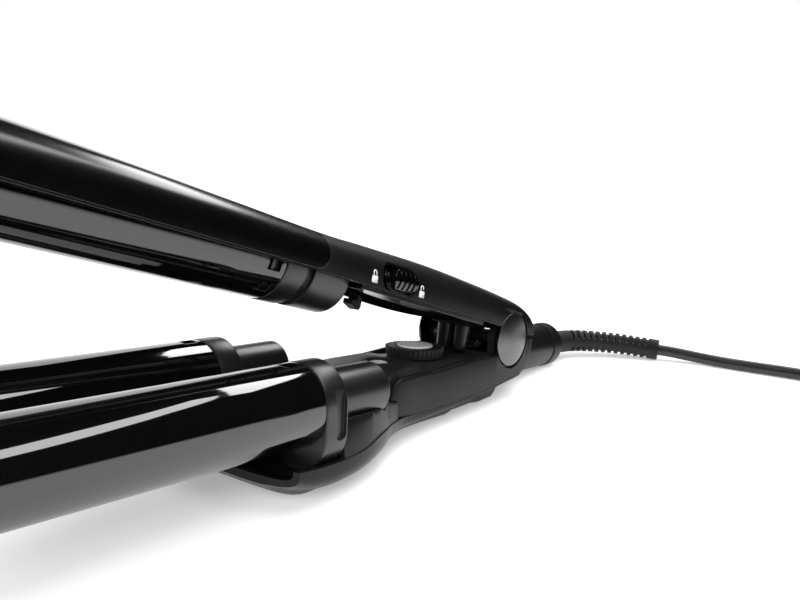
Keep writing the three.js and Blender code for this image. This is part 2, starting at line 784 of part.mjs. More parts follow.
// The side walls above the parting line, as a band of the arm's outline.
function archBodyBand(from, to, inset, lowShift, highShift) {
  const stations = [...spread(from, 0, 4), ...spread(12, to - 9, 4), ...spread(to - 7, to, 5)];
  return skin(stations.map((at) => {
    const nose = Math.sqrt(Math.max(1 - Math.max((at - to + 9) / 9, 0) ** 2, 0));
    const half = hullWidthAt(Math.min(at, 74)) - inset;
    const low = partingAt(at) + seatGap + lowShift;
    const back = Math.min((Math.max(4 - at, 0) / heelRadius) * 2, 1);
    const top = -wallTopDrop + highShift + (wallTopDrop - seatGap) * back;
    const high = low + (top - low) * (0.16 + 0.84 * nose);
    return [[-at, half, low], [-at, half, high - 1.2], [-at, half - 0.9, high], [-at, 0, high],
      [-at, -half + 0.9, high], [-at, -half, high - 1.2], [-at, -half, low], [-at, 0, low]];
  }));
}

// The deck under the dial: a tongue that widens into a ramp towards the barrels.
function deckPlate() {
  const half = hullWidthAt(60) - wall + 0.6;
  const tongueLine = [[12, 11.6], [44, 12], [58, 13], [panelEnd - 2, half - 1]];
  const heightLine = [[0, -deckDrop], [30, -deckDrop], [60, -deckDrop - 0.2],
    [panelEnd + 16, -deckDrop - 4]];
  const stations = [deckStart, 30, 44, 54, 62, 70, 78, 86, 96, collarStation - neckLength + 3];
  const rings = stations.map((at) => {
    const shoulder = Math.min(profile(tongueLine, Math.min(at, panelEnd - 2)), half - 1);
    const high = profile(heightLine, at);
    const low = partingAt(at) + 0.6 + deckThickness;
    const top = Math.max(low, high - 7);
    return [
      [-at, half, top - deckThickness], [-at, half, top], [-at, shoulder, high],
      [-at, -shoulder, high], [-at, -half, top], [-at, -half, top - deckThickness],
      [-at, -shoulder, high - deckThickness], [-at, shoulder, high - deckThickness],
    ];
  });
  const well = post(screwWellStation, 0, -12.4, 4, screwWellDiameter / 2, 20);
  const cup = post(screwWellStation, 0, -14, -deckDrop - 0.6, screwWellDiameter / 2 + 1.4, 18);
  const catchSlot = block(lockStation + 1, lockStation + 2 + hookLength + lockTravel + 2,
    -catchWidth / 2, catchWidth / 2, -30, 6);
  const shaftWay = post(dialStation, 0, -40, 6, dialShaftDiameter / 2 + 0.5, 20);
  const screwWay = post(screwWellStation, 0, -40, 0, 1.9, 12);
  return cut(skin(rings).add(cup), [well, catchSlot, shaftWay, screwWay]);
}

function deckScrew() {
  return joined([
    post(screwWellStation, 0, -12.1, -10.2, 3.4, 20),
    post(screwWellStation, 0, -22, -12, 1.5, 12),
  ]);
}

// Dial
function dialWheel() {
  const outline = [];
  for (let i = 0; i < dialTeeth * 2; i += 1) {
    const angle = (Math.PI * i) / dialTeeth;
    const radius = dialDiameter / 2 - (i % 2 ? dialTooth : 0);
    outline.push([dialStation + radius * Math.cos(angle), radius * Math.sin(angle)]);
  }
  const wheel = flatPlate(outline, dialTop - dialThickness, dialTop);
  const seat = post(dialStation, 0, dialTop - 0.4, dialTop + 1, dialFaceDiameter / 2 + seatGap, 28);
  const shaft = post(dialStation, 0, dialTop - dialThickness - 8, dialTop - dialThickness + 0.01,
    dialShaftDiameter / 2, 24);
  return wheel.subtract(seat).add(shaft);
}

function dialFace() {
  return post(dialStation, 0, dialTop - 0.1, dialTop + dialFaceThickness, dialFaceDiameter / 2, 28);
}

function potentiometer() {
  const top = dialTop - dialThickness - 8 - seatGap;
  return block(dialStation - 5, dialStation + 5, -5, 5, top - 4.4, top)
    .add(post(dialStation, 0, top - 0.01, top + 0.01, 3, 20));
}

function circuitBoard() {
  const top = dialTop - dialThickness - 8 - 4.4 - seatGap * 2;
  const board = block(dialStation - boardLength / 2, dialStation + boardLength / 2, -boardWidth / 2,
    boardWidth / 2, top - boardThickness, top);
  const relay = block(28, 36, -6, 7, top - 0.1, top + 4);
  const chips = [0, 1, 2].map((i) => block(52.5, 57, -13 + i * 9, -7 + i * 9, top - 0.1, top + 2));
  return joined([board, relay, ...chips]);
}

// Hinge
function hingePin() {
  const end = armHalfWidth + capProud - capThickness - seatGap * 2;
  return crossPin(-end, end, 0, 0, pinDiameter / 2 - runningGap, 32);
}

function hingeCap(side) {
  const outer = side * (armHalfWidth + capProud);
  const inner = outer - side * capThickness;
  const edge = outer - side * 0.5;
  const [a, b] = side < 0 ? [edge, inner] : [inner, edge];
  const body = crossPin(a, b, 0, 0, capDiameter / 2, 36);
  const [c, d] = side < 0 ? [outer, edge + 0.01] : [edge - 0.01, outer];
  return body.add(crossPin(c, d, 0, 0, capDiameter / 2 - 0.5, 36));
}

// The spring that opens the arms: a coil round the pin with a leg under each arm.
function openingSpring() {
  const radius = springCoilDiameter / 2;
  const half = (springTurns * (springWire + 0.5)) / 2;
  const points = spread(0, springTurns, springTurns * 12).map((turn) => {
    const angle = turn * 2 * Math.PI;
    return new THREE.Vector3(radius * Math.sin(angle), -half + (2 * half * turn) / springTurns,
      -radius * Math.cos(angle));
  });
  const lower = [
    new THREE.Vector3(-springLegReach, -0.2, -radius + 0.2),
    new THREE.Vector3(-springLegReach + 3, -1.4, -radius + 0.4),
    new THREE.Vector3(-radius - 1.1, -half - 0.3, -radius + 0.5),
  ];
  const upper = [new THREE.Vector3(-4, half + 0.2, radius - 0.6)];
  const path = new THREE.CatmullRomCurve3([...lower, ...points, ...upper], false, 'centripetal');
  return tubeAlong(path, springWire / 2, 40, 5);
}

// Swivel and strain relief
function rearCollar() {
  const radius = rearCollarDiameter / 2;
  const inner = -heelRadius + 5.5;
  return cut(bar(-rearCollarEnd, inner, 0, -rearCollarDrop, radius, 32), [
    bar(-rearCollarEnd - 1, inner - 3, 0, -rearCollarDrop, swivelStemDiameter / 2 + 0.5, 18),
    bar(-rearCollarEnd + 6, inner + 1, 0, -rearCollarDrop, radius - 2.2, 20),
  ]);
}

function swivelRing() {
  const start = -rearCollarEnd - swivelGroove;
  const end = start - swivelRingLength;
  const radius = swivelRingDiameter / 2;
  return joined([
    bar(end + 1, start, 0, -rearCollarDrop, radius, 32),
    bar(end, end + 1, 0, -rearCollarDrop, radius - 1.4, 32, radius),
    bar(start - 0.5, start + 12, 0, -rearCollarDrop, swivelStemDiameter / 2, 18),
    bar(start + 10, start + 13, 0, -rearCollarDrop, swivelStemDiameter / 2 + 1.7, 20),
  ]);
}

// A tube with its own radius at each step and angle, closed at both ends.
function sweep(curve, steps, sides, radiusAt) {
  const up = new THREE.Vector3(0, 0, 1);
  const rings = spread(0, 1, steps).map((t) => {
    const centre = curve.getPointAt(t);
    const tangent = curve.getTangentAt(t);
    const across = new THREE.Vector3().crossVectors(tangent, up).normalize();
    const normal = new THREE.Vector3().crossVectors(across, tangent).normalize();
    return Array.from({ length: sides }, (_, i) => {
      const angle = (2 * Math.PI * (i + 0.5)) / sides;
      const radius = radiusAt(t, angle);
      return centre.clone().addScaledVector(across, radius * Math.cos(angle))
        .addScaledVector(normal, radius * Math.sin(angle)).toArray();
    });
  });
  return skin(rings);
}

function tubeAlong(curve, radius, steps, sides) {
  const outline = new THREE.Shape();
  for (let i = 0; i <= sides; i += 1) {
    const angle = (2 * Math.PI * i) / sides;
    const x = radius * Math.cos(angle);
    const y = radius * Math.sin(angle);
    if (i === 0) {
      outline.moveTo(x, y);
    } else {
      outline.lineTo(x, y);
    }
  }
  return solid(new THREE.ExtrudeGeometry(outline, {
    steps, bevelEnabled: false, extrudePath: curve, curveSegments: sides,
  }));
}

// Where the swivel's axis leaves the ring, in the table's frame.
const swivelEnd = rearCollarEnd + swivelGroove + swivelRingLength + seatGap;
const exitPoint = new THREE.Vector3(
  swivelEnd * Math.cos(pitch) - rearCollarDrop * Math.sin(pitch), 0,
  hingeHeight - swivelEnd * Math.sin(pitch) - rearCollarDrop * Math.cos(pitch));
const exitAlong = new THREE.Vector3(Math.cos(pitch), 0, -Math.sin(pitch));

const reliefRoute = [
  exitPoint,
  exitPoint.clone().addScaledVector(exitAlong, 6),
  new THREE.Vector3(86, -2.2, 9.4),
  new THREE.Vector3(95, -8.5, 8.9),
  new THREE.Vector3(102, -17, 8.2),
  new THREE.Vector3(107.5, -27, 7.4),
  new THREE.Vector3(111.3, -37, 6.5),
  new THREE.Vector3(113.8, -46, 5.8),
];
const reliefCurve = new THREE.CatmullRomCurve3(reliefRoute, false, 'centripetal');

function strainRelief() {
  const length = reliefCurve.getLength();
  const plainShare = reliefPlain / length;
  const endShare = 1 - 3 / length;
  const ribPitch = (endShare - plainShare) / reliefRibs;
  const full = (t) => reliefRootDiameter / 2 + ((reliefTipDiameter - reliefRootDiameter) / 2) * t;
  const rings = [0, plainShare];
  for (let i = 0; i < reliefRibs; i += 1) {
    const start = plainShare + i * ribPitch;
    rings.push(start + 0.04 * ribPitch, start + 0.46 * ribPitch, start + 0.5 * ribPitch,
      start + 0.999 * ribPitch);
  }
  rings.push(endShare + 0.02, 1);
  const grooved = (index) => index >= 2 && index < rings.length - 2 && (index - 2) % 4 < 2;
  const up = new THREE.Vector3(0, 0, 1);
  const sides = 8;
  return skin(rings.map((t, index) => {
    const centre = reliefCurve.getPointAt(Math.min(t, 1));
    const tangent = reliefCurve.getTangentAt(Math.min(t, 1));
    const across = new THREE.Vector3().crossVectors(tangent, up).normalize();
    const normal = new THREE.Vector3().crossVectors(across, tangent).normalize();
    return Array.from({ length: sides }, (_, i) => {
      const angle = (2 * Math.PI * (i + 0.5)) / sides;
      const web = Math.abs(Math.cos(angle)) > 0.9;
      const radius = grooved(index) && !web ? reliefCoreDiameter / 2 : full(t);
      return centre.clone().addScaledVector(across, radius * Math.cos(angle))
        .addScaledVector(normal, radius * Math.sin(angle)).toArray();
    });
  }));
}

// Cord: from the strain relief along the table to a coil, and on to the plug.
const cordRadius = cordDiameter / 2;
const reliefEnd = reliefCurve.getPointAt(1);
const reliefAlong = reliefCurve.getTangentAt(1);
const layerPitch = cordDiameter + coilGap;
const coilCentre = new THREE.Vector3(165, -196, cordRadius + 0.25);
const coilOuter = coilMidDiameter / 2 + (coilTurns / 4) * layerPitch;
const coilPoint = (turn) => {
  const middle = coilTurns / 2;
  const inner = coilOuter - middle * layerPitch;
  const radius = inner + Math.sqrt((turn - middle) ** 2 + 0.01) * layerPitch;
  const climb = THREE.MathUtils.smoothstep(turn, middle - 0.25, middle + 0.25);
  const angle = Math.PI + turn * 2 * Math.PI;
  return new THREE.Vector3(coilCentre.x + radius * Math.cos(angle),
    coilCentre.y + radius * Math.sin(angle), coilCentre.z + climb * layerPitch);
};

// The turns with a straight stretch at either end; the tail bends away from them first.
function coilRoute() {
  const points = spread(0, coilTurns, coilTurns * coilSteps).map(coilPoint);
  const lead = (from, along, share) => from.clone().addScaledVector(along, cordDiameter * share);
  const into = points[0].clone().sub(points[1]).setZ(0).normalize();
  const along = points.at(-1).clone().sub(points.at(-2)).setZ(0).normalize();
  const outward = points.at(-1).clone().sub(coilCentre).setZ(0);
  outward.addScaledVector(along, -outward.dot(along)).normalize();
  const tail = spread(8, coilTailTurn, 8).map((degrees) => {
    const angle = THREE.MathUtils.degToRad(degrees);
    return points.at(-1).clone().addScaledVector(along, coilTailRadius * Math.sin(angle))
      .addScaledVector(outward, coilTailRadius * (1 - Math.cos(angle)));
  });
  const turn = THREE.MathUtils.degToRad(coilTailTurn);
  const out = along.clone().multiplyScalar(Math.cos(turn)).addScaledVector(outward, Math.sin(turn));
  return [
    lead(points[0], into, 1.6), lead(points[0], into, 0.6), ...points, ...tail,
    lead(tail.at(-1), out, 0.6), lead(tail.at(-1), out, 1.6),
  ];
}

const coilPath = coilRoute();
const coilStart = coilPath[0];
const coilInto = coilPath[1].clone().sub(coilPath[0]).normalize();
const coilFinish = coilPath.at(-1);
const coilOut = coilPath.at(-1).clone().sub(coilPath.at(-2)).normalize();

function cordCoil() {
  const up = new THREE.Vector3(0, 0, 1);
  const rings = coilPath.map((centre, index) => {
    const before = coilPath[Math.max(index - 1, 0)];
    const after = coilPath[Math.min(index + 1, coilPath.length - 1)];
    const tangent = after.clone().sub(before).normalize();
    const across = new THREE.Vector3().crossVectors(tangent, up).normalize();
    const normal = new THREE.Vector3().crossVectors(across, tangent).normalize();
    return Array.from({ length: coilSides }, (_, i) => {
      const angle = (2 * Math.PI * (i + 0.5)) / coilSides;
      return centre.clone().addScaledVector(across, cordRadius * Math.cos(angle))
        .addScaledVector(normal, cordRadius * Math.sin(angle)).toArray();
    });
  });
  return skin(rings);
}

// The least distance between the skins of two turns of the coil, on its points.
function leastCoilGap() {
  let least = Infinity;
  for (let i = 0; i < coilPath.length; i += 1) {
    for (let j = i + coilSteps / 2; j < coilPath.length; j += 1) {
      least = Math.min(least, coilPath[i].distanceTo(coilPath[j]) - cordDiameter);
    }
  }
  return least;
}

const cordRoute = [
  reliefEnd.clone().addScaledVector(reliefAlong, seatGap),
  reliefEnd.clone().addScaledVector(reliefAlong, seatGap + 7),
  new THREE.Vector3(118.2, -66, 3.9),
  new THREE.Vector3(118.8, -80, 3.2),
  new THREE.Vector3(119, -95, cordRadius + 0.25),
  new THREE.Vector3(119.4, -112, cordRadius + 0.25),
  new THREE.Vector3(119, -128, cordRadius + 0.25),
  new THREE.Vector3(117.6, -148, cordRadius + 0.25),
  new THREE.Vector3(116.9, -166, cordRadius + 0.25),
  coilStart.clone().addScaledVector(coilInto, -seatGap - 7),
  coilStart.clone().addScaledVector(coilInto, -seatGap),
];
const cordCurve = new THREE.CatmullRomCurve3(cordRoute, false, 'centripetal');

function cordTube() {
  const steps = Math.round(cordCurve.getLength() / (cordDiameter * 0.9));
  return sweep(cordCurve, steps, 8, () => cordRadius);
}

// Plug: its body lies along the coil's last tangent, beside the turns.
function plugFrame() {
  const frame = new THREE.Group();
  frame.position.copy(coilFinish).addScaledVector(coilOut, seatGap);
  frame.rotation.z = Math.atan2(coilOut.y, coilOut.x);
  return frame;
}

function plugBody() {
  const sections = [
    [0, 4.4, 4.4], [4, 4.6, 4.6], [9, 5.2, 5.2], [14, plugWidth / 2 - 3, plugHeight / 2 - 1.4],
    [20, plugWidth / 2, plugHeight / 2], [plugLength - 1, plugWidth / 2, plugHeight / 2],
    [plugLength, plugWidth / 2 - 1, plugHeight / 2 - 1],
  ];
  return skin(sections.map(([x, halfWidth, halfHeight]) => Array.from({ length: 24 }, (_, i) => {
    const angle = (2 * Math.PI * i) / 24;
    const across = Math.cos(angle);
    const upward = Math.sin(angle);
    return [x, halfWidth * Math.sign(across) * Math.abs(across) ** 0.6,
      halfHeight * Math.sign(upward) * Math.abs(upward) ** 0.6];
  })));
}

function plugPin(side) {
  const geometry = new THREE.CylinderGeometry(plugPinDiameter / 2, plugPinDiameter / 2,
    plugPinLength, 16);
  geometry.rotateZ(Math.PI / 2);
  geometry.translate(plugLength + seatGap + plugPinLength / 2, (side * plugPinSpacing) / 2, 0);
  return solid(geometry);
}

// Assembly
const product = new THREE.Group();

const lowerArm = new THREE.Group();
lowerArm.position.set(0, 0, hingeHeight);
lowerArm.rotation.y = pitch;
product.add(lowerArm);

const upperArm = new THREE.Group();
upperArm.rotation.y = opening;
lowerArm.add(upperArm);

const sides = [['near', -1], ['far', 1]];
lowerArm.add(
  meshFrom('lower_outer_shell', lowerOuterShell(), satinBlack),
  meshFrom('lower_inner_shell', lowerInnerShell(), satinBlack),
  meshFrom('hinge_pin', hingePin(), steel),
  meshFrom('opening_spring', openingSpring(), steel),
  meshFrom('deck_screw', deckScrew(), steel),
  meshFrom('potentiometer', potentiometer(), matteBlack),
  meshFrom('circuit_board', circuitBoard(), boardGreen),
  meshFrom('dial_wheel', dialWheel(), matteBlack),
  meshFrom('dial_face', dialFace(), dialGrey),
  meshFrom('rear_collar', rearCollar(), satinBlack),
  meshFrom('swivel_ring', swivelRing(), satinBlack),
);
for (const [name, side] of sides) {
  const y = side * halfSpacing;
  const footed = collar(y, lowerAxis, collarDrop).subtract(collarSlot(y, lowerAxis - 1, side));
  lowerArm.add(
    meshFrom(`${name}_barrel`, barrelTube(y, lowerAxis, [side * -52, side * 38]), ceramicBlack),
    meshFrom(`${name}_collar`, footed, satinBlack),
    meshFrom(`${name}_neck`, neck(y, lowerAxis), satinBlack),
    meshFrom(`${name}_tip`, tipCap(y, lowerAxis), matteBlack),
    meshFrom(`${name}_heater`, heater(y, lowerAxis), heaterWhite),
    meshFrom(`${name}_hinge_cap`, hingeCap(side), discGrey),
  );
}

upperArm.add(
  meshFrom('upper_handle_shell', upperHandleShell(), satinBlack),
  meshFrom('upper_cover', upperCover(), glossBlack),
  meshFrom('upper_belly_plate', bellyPlate(), satinBlack),
  meshFrom('upper_barrel', barrelTube(0, upperAxis, [100, 140, -100]), ceramicBlack),
  meshFrom('upper_collar', collar(0, upperAxis, 0), satinBlack),
  meshFrom('upper_boss', boss(), satinBlack),
  meshFrom('upper_tip', tipCap(0, upperAxis), matteBlack),
  meshFrom('upper_heater', heater(0, upperAxis), heaterWhite),
  meshFrom('bumper_bracket', bracket(), matteBlack),
  meshFrom('near_bumper', bumper(-1), glossBlack),
  meshFrom('far_bumper', bumper(1), glossBlack),
  meshFrom('lock_button', lockButton(), satinBlack),
  meshFrom('lock_hook', lockHook(), matteBlack),
);

const plug = plugFrame();
plug.add(
  meshFrom('plug_body', plugBody(), matteBlack),
  ...[-1, 1].map((side) => meshFrom(side < 0 ? 'plug_pin_a' : 'plug_pin_b', plugPin(side), steel)),
);
product.add(
  meshFrom('strain_relief', strainRelief(), rubberBlack),
  meshFrom('cord', cordTube(), rubberBlack),
  meshFrom('cord_coil', cordCoil(), rubberBlack),
  plug,
);

const cordLength = cordCurve.getLength()
  + coilPath.slice(1).reduce((sum, p, i) => sum + p.distanceTo(coilPath[i]), 0);
console.log(`cord ${cordLength.toFixed(0)} mm, least gap in the coil ${leastCoilGap().toFixed(2)} mm`);

export default product;
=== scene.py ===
import bpy
import bmesh
from math import atan2, copysign, cos, pi, radians, sin, sqrt
from mathutils import Matrix, Vector


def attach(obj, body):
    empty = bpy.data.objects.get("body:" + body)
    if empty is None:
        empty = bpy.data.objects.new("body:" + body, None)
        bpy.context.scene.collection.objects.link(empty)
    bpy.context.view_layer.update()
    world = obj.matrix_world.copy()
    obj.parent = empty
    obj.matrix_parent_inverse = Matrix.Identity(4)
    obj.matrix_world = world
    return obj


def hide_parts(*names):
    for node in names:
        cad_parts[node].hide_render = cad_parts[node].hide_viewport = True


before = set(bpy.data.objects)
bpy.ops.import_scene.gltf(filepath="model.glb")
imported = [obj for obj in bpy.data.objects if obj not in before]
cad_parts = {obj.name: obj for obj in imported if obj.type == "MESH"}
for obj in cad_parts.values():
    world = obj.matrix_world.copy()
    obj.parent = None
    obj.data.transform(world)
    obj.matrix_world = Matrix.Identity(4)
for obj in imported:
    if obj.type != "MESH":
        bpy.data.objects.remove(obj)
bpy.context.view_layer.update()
scene = bpy.context.scene
print("frame loaded with", len(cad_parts), "nodes")

# The stance of the two arms, in millimetres and degrees. Inside an arm, stations run
# from the hinge towards the barrel tips, as in the part's source.
stance = {"hingeHeight": 29, "lowerPitch": 4.4, "openAngle": 13.3}
tableFrame = Matrix.Scale(0.001, 4)
lowerFrame = (tableFrame @ Matrix.Translation((0, 0, stance["hingeHeight"]))
              @ Matrix.Rotation(radians(stance["lowerPitch"]), 4, "Y"))
upperFrame = lowerFrame @ Matrix.Rotation(radians(stance["openAngle"]), 4, "Y")
far = 400  # beyond everything, in millimetres


def linked(name, data):
    made = bpy.data.objects.new(name, data)
    scene.collection.objects.link(made)
    return made


def spread(start, end, count):
    return [start + (end - start) * i / count for i in range(count + 1)]


# Points on an arc, and on a quarter of an ellipse that eases the corner at (x, y).
def arc(x, y, radius, start, end, count):
    return [(x + radius * cos(a), y + radius * sin(a)) for a in spread(start, end, count)]


def quarter(x, y, wide, tall, count=8):
    return [(x + wide * (1 - cos(a)), y + tall * (1 - sin(a))) for a in spread(0, pi / 2, count)]


# ---- camera and cord
camera = {
    "place": (-0.3273, -0.2180, 0.1185),
    "right": (0.6238, -0.7816, 0.0),
    "up": (0.1445, 0.1153, 0.9828),
    "lens": 38.34,
}
cameraData = bpy.data.cameras.new("camera")
cameraData.lens = camera["lens"]
cameraData.sensor_width = 36
cameraData.clip_start = 0.01
cameraData.clip_end = 50
cameraData.dof.use_dof = False
cameraObject = linked("camera", cameraData)
right = Vector(camera["right"]).normalized()
back = right.cross(Vector(camera["up"])).normalized()
turned = Matrix((right, back.cross(right), back)).transposed().to_4x4()
cameraObject.matrix_world = Matrix.Translation(camera["place"]) @ turned
scene.camera = cameraObject


# The centripetal curve through a list of points, sampled evenly inside each span.
def centripetal(points, perSpan=24):
    points = [Vector(p) for p in points]
    whole = [points[0] * 2 - points[1]] + points + [points[-1] * 2 - points[-2]]
    found = []
    for i in range(len(points) - 1):
        p0, p1, p2, p3 = whole[i:i + 4]
        d0, d1, d2 = ((a - b).length ** 0.5 for a, b in ((p0, p1), (p1, p2), (p2, p3)))
        t1 = ((p1 - p0) / d0 - (p2 - p0) / (d0 + d1) + (p2 - p1) / d1) * d1
        t2 = ((p2 - p1) / d1 - (p3 - p1) / (d1 + d2) + (p3 - p2) / d2) * d1
        for k in range(perSpan):
            t = k / perSpan
            found.append(p1 + t1 * t + (3 * (p2 - p1) - 2 * t1 - t2) * t ** 2
                         + (2 * (p1 - p2) + t1 + t2) * t ** 3)
    return found + [points[-1]]


# Points at given shares of a polyline's length, each with its direction.
def alongLine(points, shares):
    lengths = [0]
    for a, b in zip(points, points[1:]):
        lengths.append(lengths[-1] + (b - a).length)
    found = []
    k = 0
    for share in shares:
        goal = share * lengths[-1]
        while k < len(points) - 2 and lengths[k + 1] < goal:
            k += 1
        step = points[k + 1] - points[k]
        part = (goal - lengths[k]) / max(lengths[k + 1] - lengths[k], 1e-9)
        before = points[max(k - 1, 0)]
        after = points[min(k + 2, len(points) - 1)]
        found.append((points[k] + step * part, (after - before).normalized()))
    return found


def lengthOf(points):
    return sum((b - a).length for a, b in zip(points, points[1:]))


swivel = {
    "collarDiameter": 22, "collarEnd": 62, "drop": 12.7,
    "groove": 0.6, "ringDiameter": 22.6, "ringLength": 8.6, "gap": 0.3,
}
heelPitch = radians(stance["lowerPitch"])
swivelEnd = swivel["collarEnd"] + swivel["groove"] + swivel["ringLength"] + swivel["gap"]
exitPoint = Vector((
    swivelEnd * cos(heelPitch) - swivel["drop"] * sin(heelPitch), 0,
    stance["hingeHeight"] - swivelEnd * sin(heelPitch) - swivel["drop"] * cos(heelPitch)))
exitAlong = Vector((cos(heelPitch), 0, -sin(heelPitch)))

relief = {
    "route": [(86, -2.2, 9.4), (95, -8.5, 8.9), (102, -17, 8.2), (107.5, -27, 7.4),
              (111.3, -37, 6.5), (113.8, -46, 5.8)],
    "rootRadius": 6.1, "tipRadius": 5.4, "coreRadius": 4.5, "ribs": 13, "plain": 20, "end": 3.5,
    "sides": 40, "webShare": 0.86, "round": 0.35,
}
reliefLine = centripetal([exitPoint, exitPoint + exitAlong * 6, *relief["route"]], 40)
reliefEnd = reliefLine[-1]
reliefAlong = (reliefLine[-1] - reliefLine[-2]).normalized()

cord = {
    "diameter": 5.8, "length": 1.8, "gap": 0.3,
    "coilCentre": (165, -196), "coilMid": 64, "turns": 8, "coilGap": 0.62,
    "tailRadius": 27, "tailTurn": 70, "perTurn": 72, "lift": 0.25,
    "table": [(118.2, -66, 3.9), (118.8, -80, 3.2), (119, -95, 3.15), (119.4, -112, 3.15),
              (119, -128, 3.15), (117.6, -148, 3.15), (116.9, -166, 3.15)],
}
layer = cord["diameter"] + cord["coilGap"]
coilOuter = cord["coilMid"] / 2 + cord["turns"] / 4 * layer
coilCentre = Vector((*cord["coilCentre"], cord["diameter"] / 2 + cord["lift"]))


def smoothStep(x, low, high):
    t = min(max((x - low) / (high - low), 0), 1)
    return t * t * (3 - 2 * t)


# The coil winds inwards on the table and outwards again one layer up.
def coilPoint(turn):
    middle = cord["turns"] / 2
    radius = coilOuter - middle * layer + sqrt((turn - middle) ** 2 + 0.01) * layer
    climb = smoothStep(turn, middle - 0.25, middle + 0.25) * layer
    angle = pi + turn * 2 * pi
    return coilCentre + Vector((radius * cos(angle), radius * sin(angle), climb))


def flatUnit(vector):
    return Vector((vector.x, vector.y, 0)).normalized()


coarse = [coilPoint(turn) for turn in (0, 1 / 24, cord["turns"] - 1 / 24, cord["turns"])]
coilInto = flatUnit(coarse[0] - coarse[1])
coilOut = flatUnit(coarse[3] - coarse[2])
outward = coarse[3] - coilCentre
outward = flatUnit(outward - coilOut * outward.dot(coilOut))
tailEnd = radians(cord["tailTurn"])
tail = [coarse[3] + coilOut * cord["tailRadius"] * sin(a)
        + outward * cord["tailRadius"] * (1 - cos(a))
        for a in spread(radians(8), tailEnd, 16)]
plugAlong = coilOut * cos(tailEnd) + outward * sin(tailEnd)
coilStart = coarse[0] + coilInto * cord["diameter"] * 1.6
plugStart = tail[-1] + plugAlong * cord["diameter"] * 1.6
coilLine = ([coilStart, coarse[0] + coilInto * cord["diameter"] * 0.6]
            + [coilPoint(turn) for turn in spread(0, cord["turns"], cord["turns"] * cord["perTurn"])]
            + tail + [tail[-1] + plugAlong * cord["diameter"] * 0.6, plugStart])
tableLine = centripetal([reliefEnd + reliefAlong * cord["gap"],
                         reliefEnd + reliefAlong * (cord["gap"] + 7), *cord["table"],
                         coilStart - coilInto * (cord["gap"] + 7),
                         coilStart - coilInto * cord["gap"]], 9)
cordPoints = tableLine + coilLine


def curvePiece(name, points, radius):
    data = bpy.data.curves.new(name, "CURVE")
    data.dimensions = "3D"
    data.bevel_depth = 1
    data.bevel_resolution = 5
    data.use_fill_caps = True
    spline = data.splines.new("POLY")
    spline.points.add(len(points) - 1)
    for made, point in zip(spline.points, points):
        made.co = (*point, 1)
        made.radius = radius
    return linked(name, data)


mainsCord = curvePiece("mainsCord", [p * 0.001 for p in cordPoints], cord["diameter"] * 0.0005)
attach(mainsCord, "cord_swivel")
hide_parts("cord", "cord_coil")
print("camera set; cord is", round(lengthOf(cordPoints)), "mm along its points")


# ---- finishes
# A wire is one value on its way through a material; sums with wires add Math nodes.
class Wire:
    def __init__(self, nodes, socket):
        self.nodes = nodes
        self.socket = socket

    def maths(self, operation, *values):
        return self.nodes.node("ShaderNodeMath", {"operation": operation}, dict(enumerate(values)))

    def __add__(self, other):
        return self.maths("ADD", self, other)

    def __sub__(self, other):
        return self.maths("SUBTRACT", self, other)

    def __rsub__(self, other):
        return self.maths("SUBTRACT", other, self)

    def __mul__(self, other):
        return self.maths("MULTIPLY", self, other)

    def above(self, low, high):
        return self.nodes.node("ShaderNodeMapRange", {"interpolation_type": "SMOOTHSTEP"},
                               {"Value": self, "From Min": low, "From Max": high})

    __radd__ = __add__
    __rmul__ = __mul__


class Nodes:
    def __init__(self, tree):
        self.tree = tree

    # Any node: its settings are made first, then the values or wires of its sockets.
    def node(self, kind, settings=None, values=None, output=0):
        made = self.tree.nodes.new(kind)
        for key, value in (settings or {}).items():
            setattr(made, key, value)
        for key, value in (values or {}).items():
            self.feed(made.inputs[key], value)
        return Wire(self, made.outputs[output])

    def feed(self, socket, value):
        if isinstance(value, Wire):
            self.tree.links.new(value.socket, socket)
        else:
            socket.default_value = value

    def length(self, vector):
        return self.node("ShaderNodeVectorMath", {"operation": "LENGTH"}, {0: vector}, "Value")

    # 1 for what the camera, a mirror or glass sees, 0 for the light that falls on the pieces.
    def seen(self):
        path = self.node("ShaderNodeLightPath").socket.node
        camera, glossy, through = (Wire(self, path.outputs[f"Is {ray} Ray"])
                                   for ray in ("Camera", "Glossy", "Transmission"))
        return camera.maths("MINIMUM", camera + glossy + through, 1)


